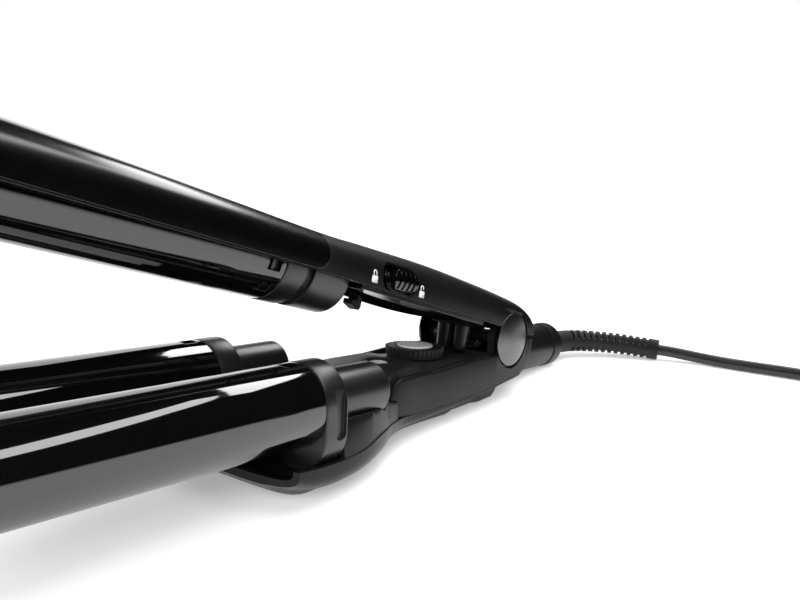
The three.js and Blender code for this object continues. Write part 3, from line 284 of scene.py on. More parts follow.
class Finish(Nodes):
    def __init__(self, name, slotName=None):
        self.material = bpy.data.materials.new(name)
        self.material.use_nodes = True
        super().__init__(self.material.node_tree)
        self.slotName = slotName
        self.shader = self.tree.nodes["Principled BSDF"]
        self.main = Wire(self, self.shader.outputs[0])
        self.place = self.node("ShaderNodeTexCoord", output="Object")

    # The shader's own sockets, by their names in camelCase.
    def set(self, **values):
        for key, value in values.items():
            words = "".join(" " + c if c.isupper() else c for c in key)
            words = words[:1].upper() + words[1:]
            self.feed(self.shader.inputs[words.replace("Ior", "IOR")], value)
        return self

    def noise(self, scale, detail=2, roughness=0.5, stretch=None):
        at = self.place
        if stretch:
            at = self.node("ShaderNodeMapping", None, {"Vector": at, "Scale": stretch})
        values = {"Vector": at, "Scale": scale, "Detail": detail, "Roughness": roughness}
        return self.node("ShaderNodeTexNoise", None, values)

    def mix(self, share, first, second):
        return self.node("ShaderNodeMix", {"data_type": "RGBA"},
                         {"Factor": share, 6: first, 7: second}, output=2)

    def roundedNormal(self, radius):
        return self.node("ShaderNodeBevel", {"samples": 6}, {"Radius": radius})

    def bump(self, height, strength, distance, normal=None):
        values = {"Height": height, "Strength": strength, "Distance": distance}
        if normal:
            values["Normal"] = normal
        return self.node("ShaderNodeBump", None, values)

    def part(self, axis):
        return self.node("ShaderNodeSeparateXYZ", None, {0: self.place}, axis)

    # The surface is the second shader where the share is 1, and the first where it is 0.
    def shows(self, share, first, second):
        both = self.node("ShaderNodeMixShader", None, {0: share, 1: first, 2: second})
        self.tree.links.new(both.socket, self.tree.nodes["Material Output"].inputs["Surface"])

    def alsoLooks(self, share, values):
        self.shows(share, self.main, self.node("ShaderNodeBsdfPrincipled", None, values))

    # 1 on rounded edges, 0 on flats: where the eased normal leaves the true one.
    def edges(self, eased):
        true = self.node("ShaderNodeNewGeometry", output="Normal")
        same = self.node("ShaderNodeVectorMath", {"operation": "DOT_PRODUCT"},
                         {0: eased, 1: true}, output="Value")
        return (1 - same).above(0.004, 0.09)


def grey(level, warmth=0.0):
    return (level * (1 + warmth), level, level * (1 - warmth), 1)


plastic = {
    "dark": 0.0045, "light": 0.0065, "worn": 0.04, "wear": 0.5, "rough": 0.34, "roughSpread": 0.08,
    "polish": 0.05, "grainScale": 3400, "grain": 0.2, "grainDepth": 0.00002, "specular": 0.2,
    "edge": 0.0004,
}


# Moulded plastic with a fine spark-eroded grain, faint handling marks and rubbed edges.
def mouldedPlastic(name, slotName, **changes):
    finish, look = Finish(name, slotName), {**plastic, **changes}
    eased = finish.roundedNormal(look["edge"])
    rubbed = finish.edges(eased) * finish.noise(900, 3).above(0.3, 0.7)
    cloud = finish.noise(38, 3)
    marks = finish.noise(60, 4, 0.6, (1, 9, 9)).above(0.56, 0.78)
    grain = finish.noise(look["grainScale"], 2, 0.6)
    base = finish.mix(cloud.above(0.3, 0.7), grey(look["dark"]), grey(look["light"]))
    base = finish.mix(rubbed * look["wear"], base, grey(look["worn"]))
    rough = look["rough"] + (cloud - 0.5) * look["roughSpread"] - marks * look["polish"]
    return finish.set(baseColor=base, roughness=rough + rubbed * -0.05, specularIorLevel=look["specular"],
                      normal=finish.bump(grain, look["grain"], look["grainDepth"], eased))


satinBlack = mouldedPlastic("satinBlackPlastic", "satin_black", worn=0.03, rough=0.36,
                            grainScale=4200, grain=0.22, edge=0.00035)
matteBlack = mouldedPlastic("matteBlackPlastic", "matte_black", dark=0.005, light=0.008, worn=0.035,
                            wear=0.6, rough=0.5, roughSpread=0.1, grainScale=3600, grain=0.3,
                            grainDepth=0.000025, specular=0.18, edge=0.0003)
dialPlastic = mouldedPlastic("dialBlackPlastic", "matte_black", dark=0.008, light=0.013, worn=0.06,
                             wear=0.7, rough=0.4, roughSpread=0.1, polish=0.06, grainScale=3000,
                             specular=0.5, edge=0.0002)
sheenBlack = mouldedPlastic("sheenBlackPlastic", "satin_black", dark=0.006, light=0.009, specular=0.62)
deckBlack = mouldedPlastic("deckBlackPlastic", "satin_black")
# A band down the middle of the deck is painted lighter and shinier than the walls of the same moulding: a
# painted sheen.
paintedSheenBand = 0.0205 - deckBlack.part("Y").maths("ABSOLUTE", deckBlack.part("Y"))
deckBlack.alsoLooks(paintedSheenBand.above(0, 0.001), {
    "Base Color": grey(0.012), "Roughness": 0.36, "Specular IOR Level": 0.6})

coat = {
    "dark": 0.0012, "light": 0.002, "rough": 0.1, "smear": 0.05, "hair": 0.03, "peelScale": 160,
    "peel": 0.03, "peelDepth": 0.0001, "ior": 1.6, "edge": 0.0004,
}


# Polished or coated surfaces: long soft smears and hairline scratches over a deep black.
def polishedCoat(name, slotName, **changes):
    finish, look = Finish(name, slotName), {**coat, **changes}
    eased = finish.roundedNormal(look["edge"])
    smear = finish.noise(26, 4, 0.55, (0.5, 1.4, 1.4)).above(0.42, 0.8)
    hair = finish.noise(300, 5, 0.7, (1, 14, 14)).above(0.62, 0.72)
    peel = finish.noise(look["peelScale"], 1)
    base = finish.mix(finish.noise(55, 2), grey(look["dark"]), grey(look["light"]))
    return finish.set(baseColor=base, ior=look["ior"],
                      roughness=look["rough"] + smear * look["smear"] + hair * look["hair"],
                      normal=finish.bump(peel, look["peel"], look["peelDepth"], eased))


glossBlack = polishedCoat("glossBlackPlastic", "gloss_black")
coverBlack = polishedCoat("coverBlackPlastic", "gloss_black", rough=0.2, ior=1.5, edge=0.0005)
bellyBlack = polishedCoat("bellyBlackPlastic", "gloss_black", rough=0.16)
# Behind a line that runs slowly inwards from the hinge to the barrels, the plate is matt black with no
# reflection at all: painted shade over the plate's inner part.
paintedShadeLine = bellyBlack.part("Y") + 0.021 + bellyBlack.part("X") * 0.09
bellyBlack.alsoLooks(paintedShadeLine.above(0, 0.0015), {
    "Base Color": grey(0.003), "Roughness": 0.5, "Specular IOR Level": 0.0})
ceramicBlack = polishedCoat("ceramicBlackCoat", "ceramic_black", dark=0.0015, light=0.0028, rough=0.045,
                            smear=0.02, hair=0.01, peelScale=900, peel=0.02, peelDepth=0.00004,
                            ior=1.72, edge=0.0003)


def rubberFinish(name, slotName, dark, light, rough, scale, bump, specular):
    finish = Finish(name, slotName)
    grain = finish.noise(scale, 3, 0.6)
    bloom = finish.noise(22, 4, 0.6)
    return finish.set(baseColor=finish.mix(bloom.above(0.35, 0.75), grey(dark), grey(light)),
                      roughness=rough + (bloom - 0.5) * 0.15, specularIorLevel=specular,
                      normal=finish.bump(grain, bump, 0.00003))


boot = rubberFinish("bootRubber", "rubber_black", 0.006, 0.011, 0.5, 2600, 0.3, 0.26)
bumperBlack = rubberFinish("bumperBlack", "gloss_black", 0.006, 0.01, 0.3, 2000, 0.1, 0.7)
sheath = rubberFinish("cordSheath", "rubber_black", 0.008, 0.014, 0.34, 1500, 0.15, 0.5)


def metalFinish(name, slotName, light, dark, metallic, rough, scale, stretch=(1, 1, 1)):
    finish = Finish(name, slotName)
    lines = finish.noise(scale, 4, 0.6, stretch)
    stain = finish.noise(70, 3)
    return finish.set(baseColor=finish.mix(stain.above(0.3, 0.8), light, dark),
                      metallic=metallic, roughness=rough + lines * 0.14,
                      normal=finish.bump(lines, 0.12, 0.00002, finish.roundedNormal(0.0002)))


screwSteel = metalFinish("screwSteel", "steel", grey(0.78), grey(0.6), 0.4, 0.3, 700, (6, 1, 1))
# Near-black metal for the hinge pin and the spring, much darker than plain steel.
darkPinSteel = metalFinish("darkSteel", "steel", grey(0.05), grey(0.03), 0.8, 0.4, 700, (6, 1, 1))
pinMetal = metalFinish("plugPinMetal", "brass_pin", (0.72, 0.66, 0.52, 1), (0.55, 0.46, 0.3, 1), 1, 0.18,
                       500, (8, 1, 1))
heaterMetal = metalFinish("heaterBar", "heater_core", grey(0.7, 0.02), grey(0.5, 0.03), 0.6, 0.4, 400,
                          (1, 6, 6))
discGrey = metalFinish("hingeDiscGrey", "disc_grey", grey(0.15), grey(0.12), 1, 0.22, 900)
dialGrey = metalFinish("dialFaceSilver", "dial_grey", grey(0.62), grey(0.52), 0, 0.35, 1500)

boardGreen = Finish("boardLacquer", "board_green")
tracks = boardGreen.node("ShaderNodeTexVoronoi", {"feature": "DISTANCE_TO_EDGE"},
                         {"Vector": boardGreen.place, "Scale": 420}).above(0.02, 0.06)
boardGreen.set(baseColor=boardGreen.mix(tracks, (0.05, 0.26, 0.1, 1), (0.01, 0.09, 0.03, 1)),
               roughness=0.3 + tracks * 0.15, normal=boardGreen.bump(tracks, 0.2, 0.00005))

iconWhite = Finish("padlockInk", "satin_black")
ink = iconWhite.noise(1800, 3)
iconWhite.set(baseColor=iconWhite.mix(ink.above(0.3, 0.75), grey(0.5), grey(0.68)),
              roughness=0.45 + ink * 0.1, normal=iconWhite.bump(ink, 0.1, 0.00002))

carried = {"near_heater": heaterMetal, "far_heater": heaterMetal, "upper_heater": heaterMetal,
           "hinge_pin": darkPinSteel, "opening_spring": darkPinSteel, "potentiometer": matteBlack,
           "circuit_board": boardGreen}
for name, finish in carried.items():
    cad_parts[name].data.materials.clear()
    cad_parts[name].data.materials.append(finish.material)
print("finishes made")


# ---- ways to make a form, in millimetres
def revolve(profile, toPoint, sides=96, closed=False):
    points = []
    faces = []
    rings = []
    for along, radius in profile:
        if radius < 1e-6 and not closed:
            rings.append([len(points)])
            points.append(toPoint(along, 0, 0))
            continue
        rings.append(list(range(len(points), len(points) + sides)))
        points += [toPoint(along, radius, 2 * pi * k / sides) for k in range(sides)]
    pairs = list(zip(rings, rings[1:])) + ([(rings[-1], rings[0])] if closed else [])
    for a, b in pairs:
        for k in range(sides):
            n = (k + 1) % sides
            face = [a[k % len(a)], a[n % len(a)], b[n % len(b)], b[k % len(b)]]
            faces.append(list(dict.fromkeys(face)))
    if not closed:
        faces += [ring for ring in (rings[0], rings[-1]) if len(ring) > 1]
    return meshOf(points, faces)


def meshOf(points, faces):
    mesh = bpy.data.meshes.new("form")
    mesh.from_pydata([tuple(p) for p in points], [], faces)
    work = bmesh.new()
    work.from_mesh(mesh)
    bmesh.ops.recalc_face_normals(work, faces=work.faces)
    if work.calc_volume(signed=True) < 0:
        bmesh.ops.reverse_faces(work, faces=work.faces)
    work.to_mesh(mesh)
    work.free()
    return mesh


# Round bodies along the arm, across it and standing on it.
def bar(profile, y, z, sides=96, closed=False):
    return revolve(profile, lambda s, r, a: (-s, y + r * cos(a), z + r * sin(a)), sides,
                   closed)


def crossBar(profile, station, z, sides=96, closed=False):
    return revolve(profile, lambda s, r, a: (-station + r * cos(a), s, z + r * sin(a)),
                   sides, closed)


def post(profile, station, y, sides=64, closed=False):
    return revolve(profile, lambda s, r, a: (-station + r * cos(a), y + r * sin(a), s),
                   sides, closed)


def plain(start, end, radius):
    return [(start, radius), (end, radius)]


# A profile with its corners eased by short curves.
def eased(profile, radius, steps=4, closed=False):
    points = [Vector(p) for p in profile]
    count = len(points)
    found = []
    for i, here in enumerate(points):
        if not closed and i in (0, count - 1):
            found.append(here)
            continue
        before, after = points[i - 1], points[(i + 1) % count]
        reach = min(radius, (here - before).length * 0.48, (after - here).length * 0.48)
        a = here + (before - here).normalized() * reach
        b = here + (after - here).normalized() * reach
        for t in spread(0, 1, steps):
            found.append(a * (1 - t) ** 2 + here * 2 * t * (1 - t) + b * t * t)
    return [tuple(p) for p in found]


def loft(rings):
    count = len(rings[0])
    points = [p for ring in rings for p in ring]
    faces = []
    for i in range(len(rings) - 1):
        for j in range(count):
            a, b = i * count + j, i * count + (j + 1) % count
            faces.append([a, b, b + count, a + count])
    last = (len(rings) - 1) * count
    faces += [list(range(count)), list(range(last, last + count))]
    return meshOf(points, faces)


def box(start, end, left, right, low, high):
    ring = [(left, low), (right, low), (right, high), (left, high)]
    return loft([[(-s, y, z) for y, z in ring] for s in (start, end)])


def plateAcross(outline, left, right):
    return loft([[(-s, y, z) for s, z in outline] for y in (left, right)])


def plateUp(outline, low, high):
    return loft([[(-s, y, z) for s, y in outline] for z in (low, high)])


def placed(mesh, degrees, axis, offset=(0, 0, 0)):
    mesh.transform(Matrix.Translation(offset) @ Matrix.Rotation(radians(degrees), 4, axis))
    return mesh


# One mesh joined with, cut by or kept inside others, in the order given.
def combine(base, steps):
    target = linked("work", base)
    helpers = []
    for operation, mesh in steps:
        helper = linked("tool", mesh)
        helpers.append(helper)
        modifier = target.modifiers.new("step", "BOOLEAN")
        modifier.operation = operation
        modifier.object = helper
        modifier.solver = "MANIFOLD"
    view = bpy.context.evaluated_depsgraph_get()
    result = bpy.data.meshes.new_from_object(target.evaluated_get(view))
    for done in [target, *helpers]:
        bpy.data.objects.remove(done)
    return result


def joined(base, *others):
    return combine(base, [("UNION", mesh) for mesh in others])


def cut(base, *others):
    return combine(base, [("DIFFERENCE", mesh) for mesh in others])


def within(base, *others):
    return combine(base, [("INTERSECT", mesh) for mesh in others])


# A finished piece: the mesh goes into the row frame and rides on its body.
def piece(name, mesh, at, finish, node=None, sharp=38, bevel=0.0):
    place, body = at
    work = bmesh.new()
    work.from_mesh(mesh)
    bmesh.ops.remove_doubles(work, verts=work.verts, dist=1e-4)
    bmesh.ops.dissolve_degenerate(work, edges=work.edges, dist=1e-4)
    work.to_mesh(mesh)
    work.free()
    mesh.transform(place)
    mesh.shade_smooth()
    mesh.set_sharp_from_angle(angle=radians(sharp))
    mesh.materials.clear()
    mesh.materials.append(finish.material)
    made = linked(name, mesh)
    if bevel:
        modifier = made.modifiers.new("easedEdges", "BEVEL")
        modifier.width = bevel * 0.001
        modifier.segments = 3
        modifier.limit_method = "ANGLE"
        modifier.angle_limit = radians(40)
        modifier.harden_normals = False
    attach(made, body)
    if node:
        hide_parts(node)
    return made


onLower = lowerFrame, "lower_arm"
onUpper = upperFrame, "upper_arm"


# Smooth reading of a list of (station, value) pairs.
def reading(pairs, station):
    def curveAt(t):
        span = t * (len(pairs) - 1)
        i = min(int(span), len(pairs) - 2)
        w = span - i
        p = [pairs[max(i - 1, 0)], pairs[i], pairs[i + 1], pairs[min(i + 2, len(pairs) - 1)]]
        found = []
        for a, b, c, d in zip(*p):
            v0, v1 = (c - a) * 0.5, (d - b) * 0.5
            found.append((2 * b - 2 * c + v0 + v1) * w ** 3
                         + (-3 * b + 3 * c - 2 * v0 - v1) * w ** 2 + v0 * w + b)
        return found
    low, high = 0.0, 1.0
    for _ in range(34):
        middle = (low + high) / 2
        if curveAt(middle)[0] < station:
            low = middle
        else:
            high = middle
    return curveAt((low + high) / 2)[1]


# A squared-off arch from springing to crown, on straight walls from the base line.
def archRing(at, halfWidth, base, springing, crown, power, steps):
    ring = [(-at, halfWidth, base)]
    for angle in spread(0, pi, steps):
        across, up = cos(angle), abs(sin(angle)) ** (2 / power)
        side = copysign(abs(across) ** (2 / power), across)
        ring.append((-at, halfWidth * side, springing + (crown - springing) * up))
    return ring + [(-at, -halfWidth, base)]


# ---- barrels, with their collars, necks, tips and heaters
barrels = {
    "radius": 14, "wall": 1.3, "length": 120, "spacing": 50.5, "nestGap": 0.6, "lowerAxis": -6,
    "collarStation": 130, "collarLength": 10, "collarProud": 0.12, "collarDrop": 8, "gap": 0.3,
    "tipLength": 8, "plugDepth": 5, "neckRadius": 9.7, "neckLength": 27.3, "neckEase": 1.2,
    "slotInset": 2.2, "slotLength": 5.6, "slotWidth": 4.2, "collarSlot": (3.1, 14, 4.8), "bossLength": 21,
    "bossGroove": 3.6,
}
gap, lowerAxis, barrelRadius = (barrels[k] for k in ("gap", "lowerAxis", "radius"))
halfSpacing = barrels["spacing"] / 2
upperAxis = sqrt((barrelRadius * 2 + barrels["nestGap"]) ** 2 - halfSpacing ** 2) + lowerAxis
barrelBore = barrelRadius - barrels["wall"]
collarStation = barrels["collarStation"]
collarRadius = barrelRadius + barrels["collarProud"]
collarEnd = collarStation + barrels["collarLength"]
neckStart, neckEnd = collarStation - barrels["neckLength"], collarStation - gap
barrelStart = collarEnd + gap
barrelEnd = barrelStart + barrels["length"]
tipEnd = barrelEnd + barrels["tipLength"]


def barrelTube(y, z, slots):
    profile = eased([(barrelStart, barrelRadius), (barrelEnd, barrelRadius), (barrelEnd, barrelBore),
                     (barrelStart, barrelBore)], 0.3, 3, True)
    start, half = barrelStart + barrels["slotInset"], barrels["slotWidth"] / 2
    tools = [placed(box(start, start + barrels["slotLength"], -half, half,
                        barrelRadius - barrels["wall"] * 2, barrelRadius + 1), turn, "X", (0, y, z))
             for turn in slots]
    return cut(bar(profile, y, z, 160, True), *tools)


def tipCap(y, z):
    inner, back, seat = barrelBore - gap, barrelEnd - barrels["plugDepth"], barrelEnd + gap
    profile = eased([(back, 0), (back, inner), (seat, inner), (seat, barrelRadius),
                     (tipEnd, barrelRadius)], 0.3)[:-1]
    profile += quarter(tipEnd, barrelRadius, -2.4, -2.4)[::-1]
    return bar(profile + [(tipEnd, 8.2), (tipEnd - 0.5, 7.8), (tipEnd - 0.5, 0)], y, z, 128)


# A collar round the barrel's root; drop lengthens it downwards into the housing.
def collarRing(y, z, drop, slotSide=0):
    bore, ease, ring = barrelBore - gap, 0.6, []
    edge = quarter(0, 0, ease, ease, 5)[::-1]
    for s, inset in ([(collarStation + s, inset) for inset, s in edge]
                     + [(collarEnd - s, inset) for inset, s in reversed(edge)]):
        outline = (arc(y, z, collarRadius - inset, 0, pi, 48)
                   + arc(y, z - drop - 0.001, collarRadius - inset, pi, 2 * pi, 48))
        ring.append([(-s, py, pz) for py, pz in outline])
    tongue = bar(plain(collarEnd - 1, barrelStart + barrels["plugDepth"], bore), y, z)
    hollow = bar(plain(collarStation + 3, collarEnd + barrels["plugDepth"] + 1, bore - 1.8), y, z)
    made = cut(joined(loft(ring), tongue), hollow)
    if not slotSide:
        return made
    offset, length, width = barrels["collarSlot"]
    ends = sorted((y + slotSide * (collarRadius - 1.4), y + slotSide * (collarRadius + 2)))
    slot = [(collarStation + offset + width / 2 * cos(a), z - 1 + copysign(length / 2, sin(a) + 1e-9)
             + width / 2 * sin(a)) for a in spread(0.001, 2 * pi - 0.262, 23)]
    return cut(made, plateAcross(slot, *ends))


def neckTube(y, z):
    radius, ease, thick, depth = barrels["neckRadius"], barrels["neckEase"], 2.4, neckStart + 3
    return bar([(neckStart, 0)] + quarter(neckStart, radius, ease, -ease)
               + [(neckEnd, radius), (neckEnd, radius - thick), (depth, radius - thick), (depth, 0)], y, z)


arms = {"near": -1, "far": 1}
for name, side in arms.items():
    y, z = side * halfSpacing, lowerAxis
    piece(name + "Barrel", barrelTube(y, z, [3, side * 120]), onLower,
          ceramicBlack, name + "_barrel")
    piece(name + "Tip", tipCap(y, z), onLower, matteBlack, name + "_tip")
    piece(name + "Collar", collarRing(y, z, barrels["collarDrop"], side), onLower,
          sheenBlack, name + "_collar")
    piece(name + "Neck", neckTube(y, z), onLower, sheenBlack, name + "_neck")
piece("upperBarrel", barrelTube(0, upperAxis, [98, 134, -98]), onUpper,
      ceramicBlack, "upper_barrel")
piece("upperTip", tipCap(0, upperAxis), onUpper, matteBlack, "upper_tip")
piece("upperCollar", collarRing(0, upperAxis, 0), onUpper, sheenBlack,
      "upper_collar")


def bossTube():
    start, radius = collarStation - barrels["bossLength"] - 2, barrelRadius - 0.1
    groove = neckEnd - barrels["bossGroove"]
    return bar([(start, 0)] + quarter(start, radius, 1.6, -1.6) + eased([
        (groove - 2, radius), (groove, radius), (groove, radius - 1.9), (neckEnd, radius - 1.9),
        (neckEnd, radius - 4.9), (start + 3, radius - 4.9)], 0.3) + [(start + 3, 0)], 0, upperAxis, 128)


piece("upperBoss", bossTube(), onUpper, sheenBlack, "upper_boss")
print("barrels made")


# ---- upper arm: handle, cover, belly plate, bumpers
upperArm = {
    "wall": 2.2, "halfWidth": 22.5, "heel": 19, "power": 2.6, "edge": 0.8, "seam": 4.3,
    "seamRise": 0.02, "top": 21.4, "coverStation": 126,
    "coverThickness": 1.3, "rim": 0.12, "lugRadius": 7, "lugThickness": 3,
    "lugGap": 0.5, "pinRadius": 3, "pinGap": 0.06, "coverCorner": 6,
}
wall, halfWidth, heel, coverStation, coverRim, lugRadius, cover = (upperArm[k] for k in (
    "wall", "halfWidth", "heel", "coverStation", "rim", "lugRadius", "coverThickness"))
topLine = [(-60, 12), (-25, 18.2), (0, 20.2), (25, 21.4), (60, 22.4), (98, 22), (coverStation, 21.7),
           (200, 23.4), (280, 24.4)]
upperWidthLine = [(-60, 22.5), (0, 22.5), (50, 22.1), (coverStation, 20), (200, 20), (280, 19.4)]


def seamAt(station):
    level = min(max(station, 0), coverStation) + max(station - coverStation, 0) * 0.15
    return upperArm["seam"] + upperArm["seamRise"] * level


def upperBody(start, end, count, inset, base=None, steps=72):
    return loft([archRing(at, reading(upperWidthLine, at) - inset,
                          seamAt(at) if base is None else base, seamAt(at) + upperArm["edge"],
                          reading(topLine, at) - inset, upperArm["power"], steps)
                 for at in spread(start, end, count)])


def aboveSeam(rise, corner, end):
    turn = quarter(end, seamAt(end) + rise, corner, corner, 10)
    return plateAcross([(far, seamAt(far) + rise), (far, far), (end, far)] + turn, -far, far)


disc = {"radius": 12.1, "thickness": 2.4, "proud": 1.1, "recess": 1.0, "dome": 1.3, "ease": 0.4}
discFace = halfWidth + disc["proud"]
discRecess = [crossBar(plain(*ends, disc["radius"] + disc["recess"]), 0, 0)
              for ends in ((-far / 8, disc["thickness"] + gap - discFace),
                           (discFace - disc["thickness"] - gap, far / 8))]


def ovalAcross(left, right, station, height, halfLength, halfHeight):
    straight = max(halfLength - halfHeight, 0.01)
    return plateAcross(arc(station + straight, height, halfHeight, -pi / 2, pi / 2, 28)
                       + arc(station - straight, height, halfHeight, pi / 2, 3 * pi / 2, 28), left, right)


lock = {
    "station": 83.5, "height": 11.5, "travel": 5.5, "length": 14.5, "tall": 8.6, "proud": 0.6,
    "margin": 0.6, "dish": 1.3, "dishDepth": 0.8, "dome": 5.6,
}
lockAt, lockHeight, lockTall = lock["station"], lock["height"], lock["tall"] / 2


def lockOpening(left, right, margin):
    return ovalAcross(left, right, lockAt + lock["travel"] / 2, lockHeight,
                      (lock["length"] + lock["travel"]) / 2 + margin, lockTall + margin)


def upperLugs():
    inner, top, made = halfWidth - wall - upperArm["lugThickness"], upperArm["top"] - 8, []
    for side in (-1, 1):
        a, b = sorted((side * inner, side * (halfWidth - wall - upperArm["lugGap"])))
        c, d = sorted((side * inner, side * (halfWidth - wall / 2)))
        made += [crossBar(plain(a, b, lugRadius), 0, 0), box(-6.5, 6.5, c, d, 3, top),
                 box(-6, 9, c, d, upperArm["seam"] + 4, top)]
    return made


def handleShell():
    heelRound = joined(box(0, far, -far, far, -far, far), crossBar(plain(-far, far, heel), 0, 0, 160))
    behind = cut(placed(box(-far, 0, -far, far, -far, gap), -stance["openAngle"], "Y"),
                 crossBar(plain(wall - halfWidth, halfWidth - wall, lugRadius + 1), 0, 0))
    walls = combine(upperBody(-heel, coverStation, 70, 0), [
        ("DIFFERENCE", upperBody(-heel + wall, coverStation + 5, 40, wall, upperArm["seam"] - 6)),
        ("INTERSECT", heelRound), ("DIFFERENCE", behind)])
    seat = combine(upperBody(coverStation - 1, tipEnd + 2, 30, -1, 0), [
        ("DIFFERENCE", upperBody(coverStation - 2, tipEnd + 3, 30, cover + gap, -1)),
        ("INTERSECT", aboveSeam(coverRim, upperArm["coverCorner"] + gap, coverStation))])
    rail = cut(upperBody(coverStation - 2, tipEnd, 30, 0),
               upperBody(coverStation - 3, tipEnd + 1, 30, wall + cover, 0),
               seat, box(coverStation + 5, far, -11, 11, 0, far))
    bossBed = bar(plain(collarStation - barrels["bossLength"] - 2 - gap, far, collarRadius + gap + 0.1),
                  0, upperAxis)
    dish = cut(lockOpening(-far / 8, 0, lock["dish"]),
               upperBody(lockAt - 30, lockAt + 40, 8, lock["dishDepth"], 0))
    return cut(joined(walls, rail, *upperLugs()), bossBed, dish,
               lockOpening(-halfWidth - 5, -halfWidth + wall + 5, lock["margin"]),
               crossBar(plain(-far, far, upperArm["pinRadius"] + upperArm["pinGap"]), 0, 0, 48),
               *discRecess)


piece("upperHandle", handleShell(), onUpper, satinBlack, "upper_handle_shell")


def coverShell():
    start = coverStation + gap * 1.2
    return combine(upperBody(start, tipEnd, 60, 0), [
        ("DIFFERENCE", upperBody(coverStation - 2, tipEnd + 2, 60, cover, -1)),
        ("DIFFERENCE", bar(plain(collarStation - 20, far, collarRadius + gap + 0.1), 0, upperAxis, 160)),
        ("INTERSECT", aboveSeam(coverRim + gap, upperArm["coverCorner"], start))])


piece("upperCover", coverShell(), onUpper, coverBlack, "upper_cover")

belly = {"depth": 2.6, "thickness": 1.8, "start": 22.7, "end": 105, "hookWidth": 5, "hookLength": 5.6}


def bellyPlate():
    rings = []
    start, end = belly["start"], belly["end"]
    for at in spread(start, end, 40):
        bulge = belly["depth"] * (1 - ((2 * at - start - end) / (end - start)) ** 2)
        half = reading(upperWidthLine, at) - wall - gap * 2
        top = seamAt(at) + 0.2
        rings.append([(-at, s * half, top - depth - bulge * (1 - s * s)) for depth, across in (
            (belly["thickness"], spread(-1, 1, 32)), (0, spread(1, -1, 32))) for s in across])
    return cut(loft(rings), box(lockAt + 0.4, lockAt + 14.7, -6.1, 6.1, -10, 10))


piece("bellyPlate", bellyPlate(), onUpper, bellyBlack, "upper_belly_plate")

bumper = {
    "station": 15, "spacing": 9.2, "topRadius": 4.1, "tipRadius": 3.1, "length": 11.5, "ease": 1.9,
    "bracketLength": 13.5, "bracketWidth": 19, "bracketHeight": 5.5, "bracketEnd": 20.4,
}
bracketTop = seamAt(bumper["station"]) + 3
bracketFoot = bracketTop - bumper["bracketHeight"]


def bracketBlock():
    end, half = bumper["bracketEnd"], bumper["bracketWidth"] / 2
    start = end - bumper["bracketLength"]
    return joined(box(start, end, -half, half, bracketFoot, bracketTop),
                  box(start - 2, end + 2, -half - 1, half + 1, bracketTop - 1.4, bracketTop))


def bumperPost(side):
    top, ease = bracketFoot - gap, bumper["ease"]
    low = top - bumper["length"]
    return post([(low, 0)] + quarter(low, bumper["tipRadius"], ease, -ease, 10)
                + [(top, bumper["topRadius"]), (top, 0)], bumper["station"], side * bumper["spacing"] / 2)


piece("bumperBracket", bracketBlock(), onUpper, matteBlack, "bumper_bracket", bevel=0.4)
for name, side in arms.items():
    piece(name + "Bumper", bumperPost(side), onUpper, bumperBlack, name + "_bumper")
print("upper arm made")


# ---- lock
def armSlab(outer, inner):
    return cut(upperBody(lockAt - 20, lockAt + 20, 10, outer, None, 96),
               upperBody(lockAt - 21, lockAt + 21, 10, inner, 0, 96))


def buttonOval(longer, taller, up=0.0):
    return ovalAcross(-halfWidth - 3, -8, lockAt, lockHeight + up, lock["length"] / 2 + longer,
                      lockTall + taller)


def sideOf(station, height):
    springing = seamAt(station) + upperArm["edge"]
    rise = max((height - springing) / (reading(topLine, station) - springing), 0)
    power = upperArm["power"]
    return -reading(upperWidthLine, station) * (1 - rise ** power) ** (1 / power)


def lockButton():
    dome, face = lock["dome"], sideOf(lockAt, lockHeight) - lock["proud"]
    body = within(buttonOval(0, 0), armSlab(-lock["proud"], wall + 2.2))
    body = within(body, bar(plain(lockAt - 20, lockAt + 20, dome), face + dome, lockHeight))
    keeper = within(buttonOval(2, 1, 0.4), armSlab(wall + 0.45, wall + 2.2))
    grooves = [box(lockAt + step * 2.9 - 0.6, lockAt + step * 2.9 + 0.6, -halfWidth - 3, face + 1.3,
                   lockHeight - lockTall, lockHeight + lockTall) for step in (-1.5, -0.5, 0.5, 1.5)]
    return joined(cut(body, *grooves), keeper)


piece("lockButton", lockButton(), (upperFrame, "lock"), glossBlack, "lock_button", bevel=0.22)


def lockHook():
    start, end = lockAt + 2, lockAt + 2 + belly["hookLength"]
    half, root, low = belly["hookWidth"] / 2, lockHeight - 1, seamAt(lockAt) - 6.8
    toe = plateAcross([(start, low), (start + 1, low - 1.4), (end, low + 0.4), (end, low + 2.4),
                       (start + 2.9, low + 2.4)], -half, half)
    return joined(box(start, end, -halfWidth + wall + 6.6, half, root - 2.5, root),
                  box(start, start + 3, -half, half, low, root - 1), toe)


piece("lockHook", lockHook(), (upperFrame, "lock"), matteBlack, "lock_hook", bevel=0.35)

# The two padlock signs, inked on the handle's side each side of the window.
padlock = {"width": 3.25, "body": 2.6, "corner": 0.35, "shackle": 1.02, "ink": 0.5, "rise": 1.25,
           "lift": 0.03, "film": 0.00006}


def padlockSign(station, height, opened):
    half, tall, corner = padlock["width"] / 2, padlock["body"], padlock["corner"]
    points = []
    for turn, (x, z) in enumerate(((half - corner, tall - corner), (corner - half, tall - corner),
                                   (corner - half, corner), (half - corner, corner))):
        points += arc(x, z, corner, turn * pi / 2, (turn + 1) * pi / 2, 3)
    first, bow = len(points), 17
    foot = tall - 0.05
    for reach in (padlock["shackle"], padlock["shackle"] - padlock["ink"]):
        points += [(reach, tall + 0.75 if opened else foot),
                   *arc(0, tall + padlock["rise"], reach, 0, pi, bow - 3), (-reach, foot)]
    faces = [list(range(first))] + [[k, k + 1, k + bow + 1, k + bow] for k in range(first, first + bow - 1)]
    mesh = bpy.data.meshes.new("sign")
    mesh.from_pydata([(u - station, sideOf(station - u, height + v - 2.6) - padlock["lift"],
                       height + v - 2.6) for u, v in points], [], faces)
    return mesh


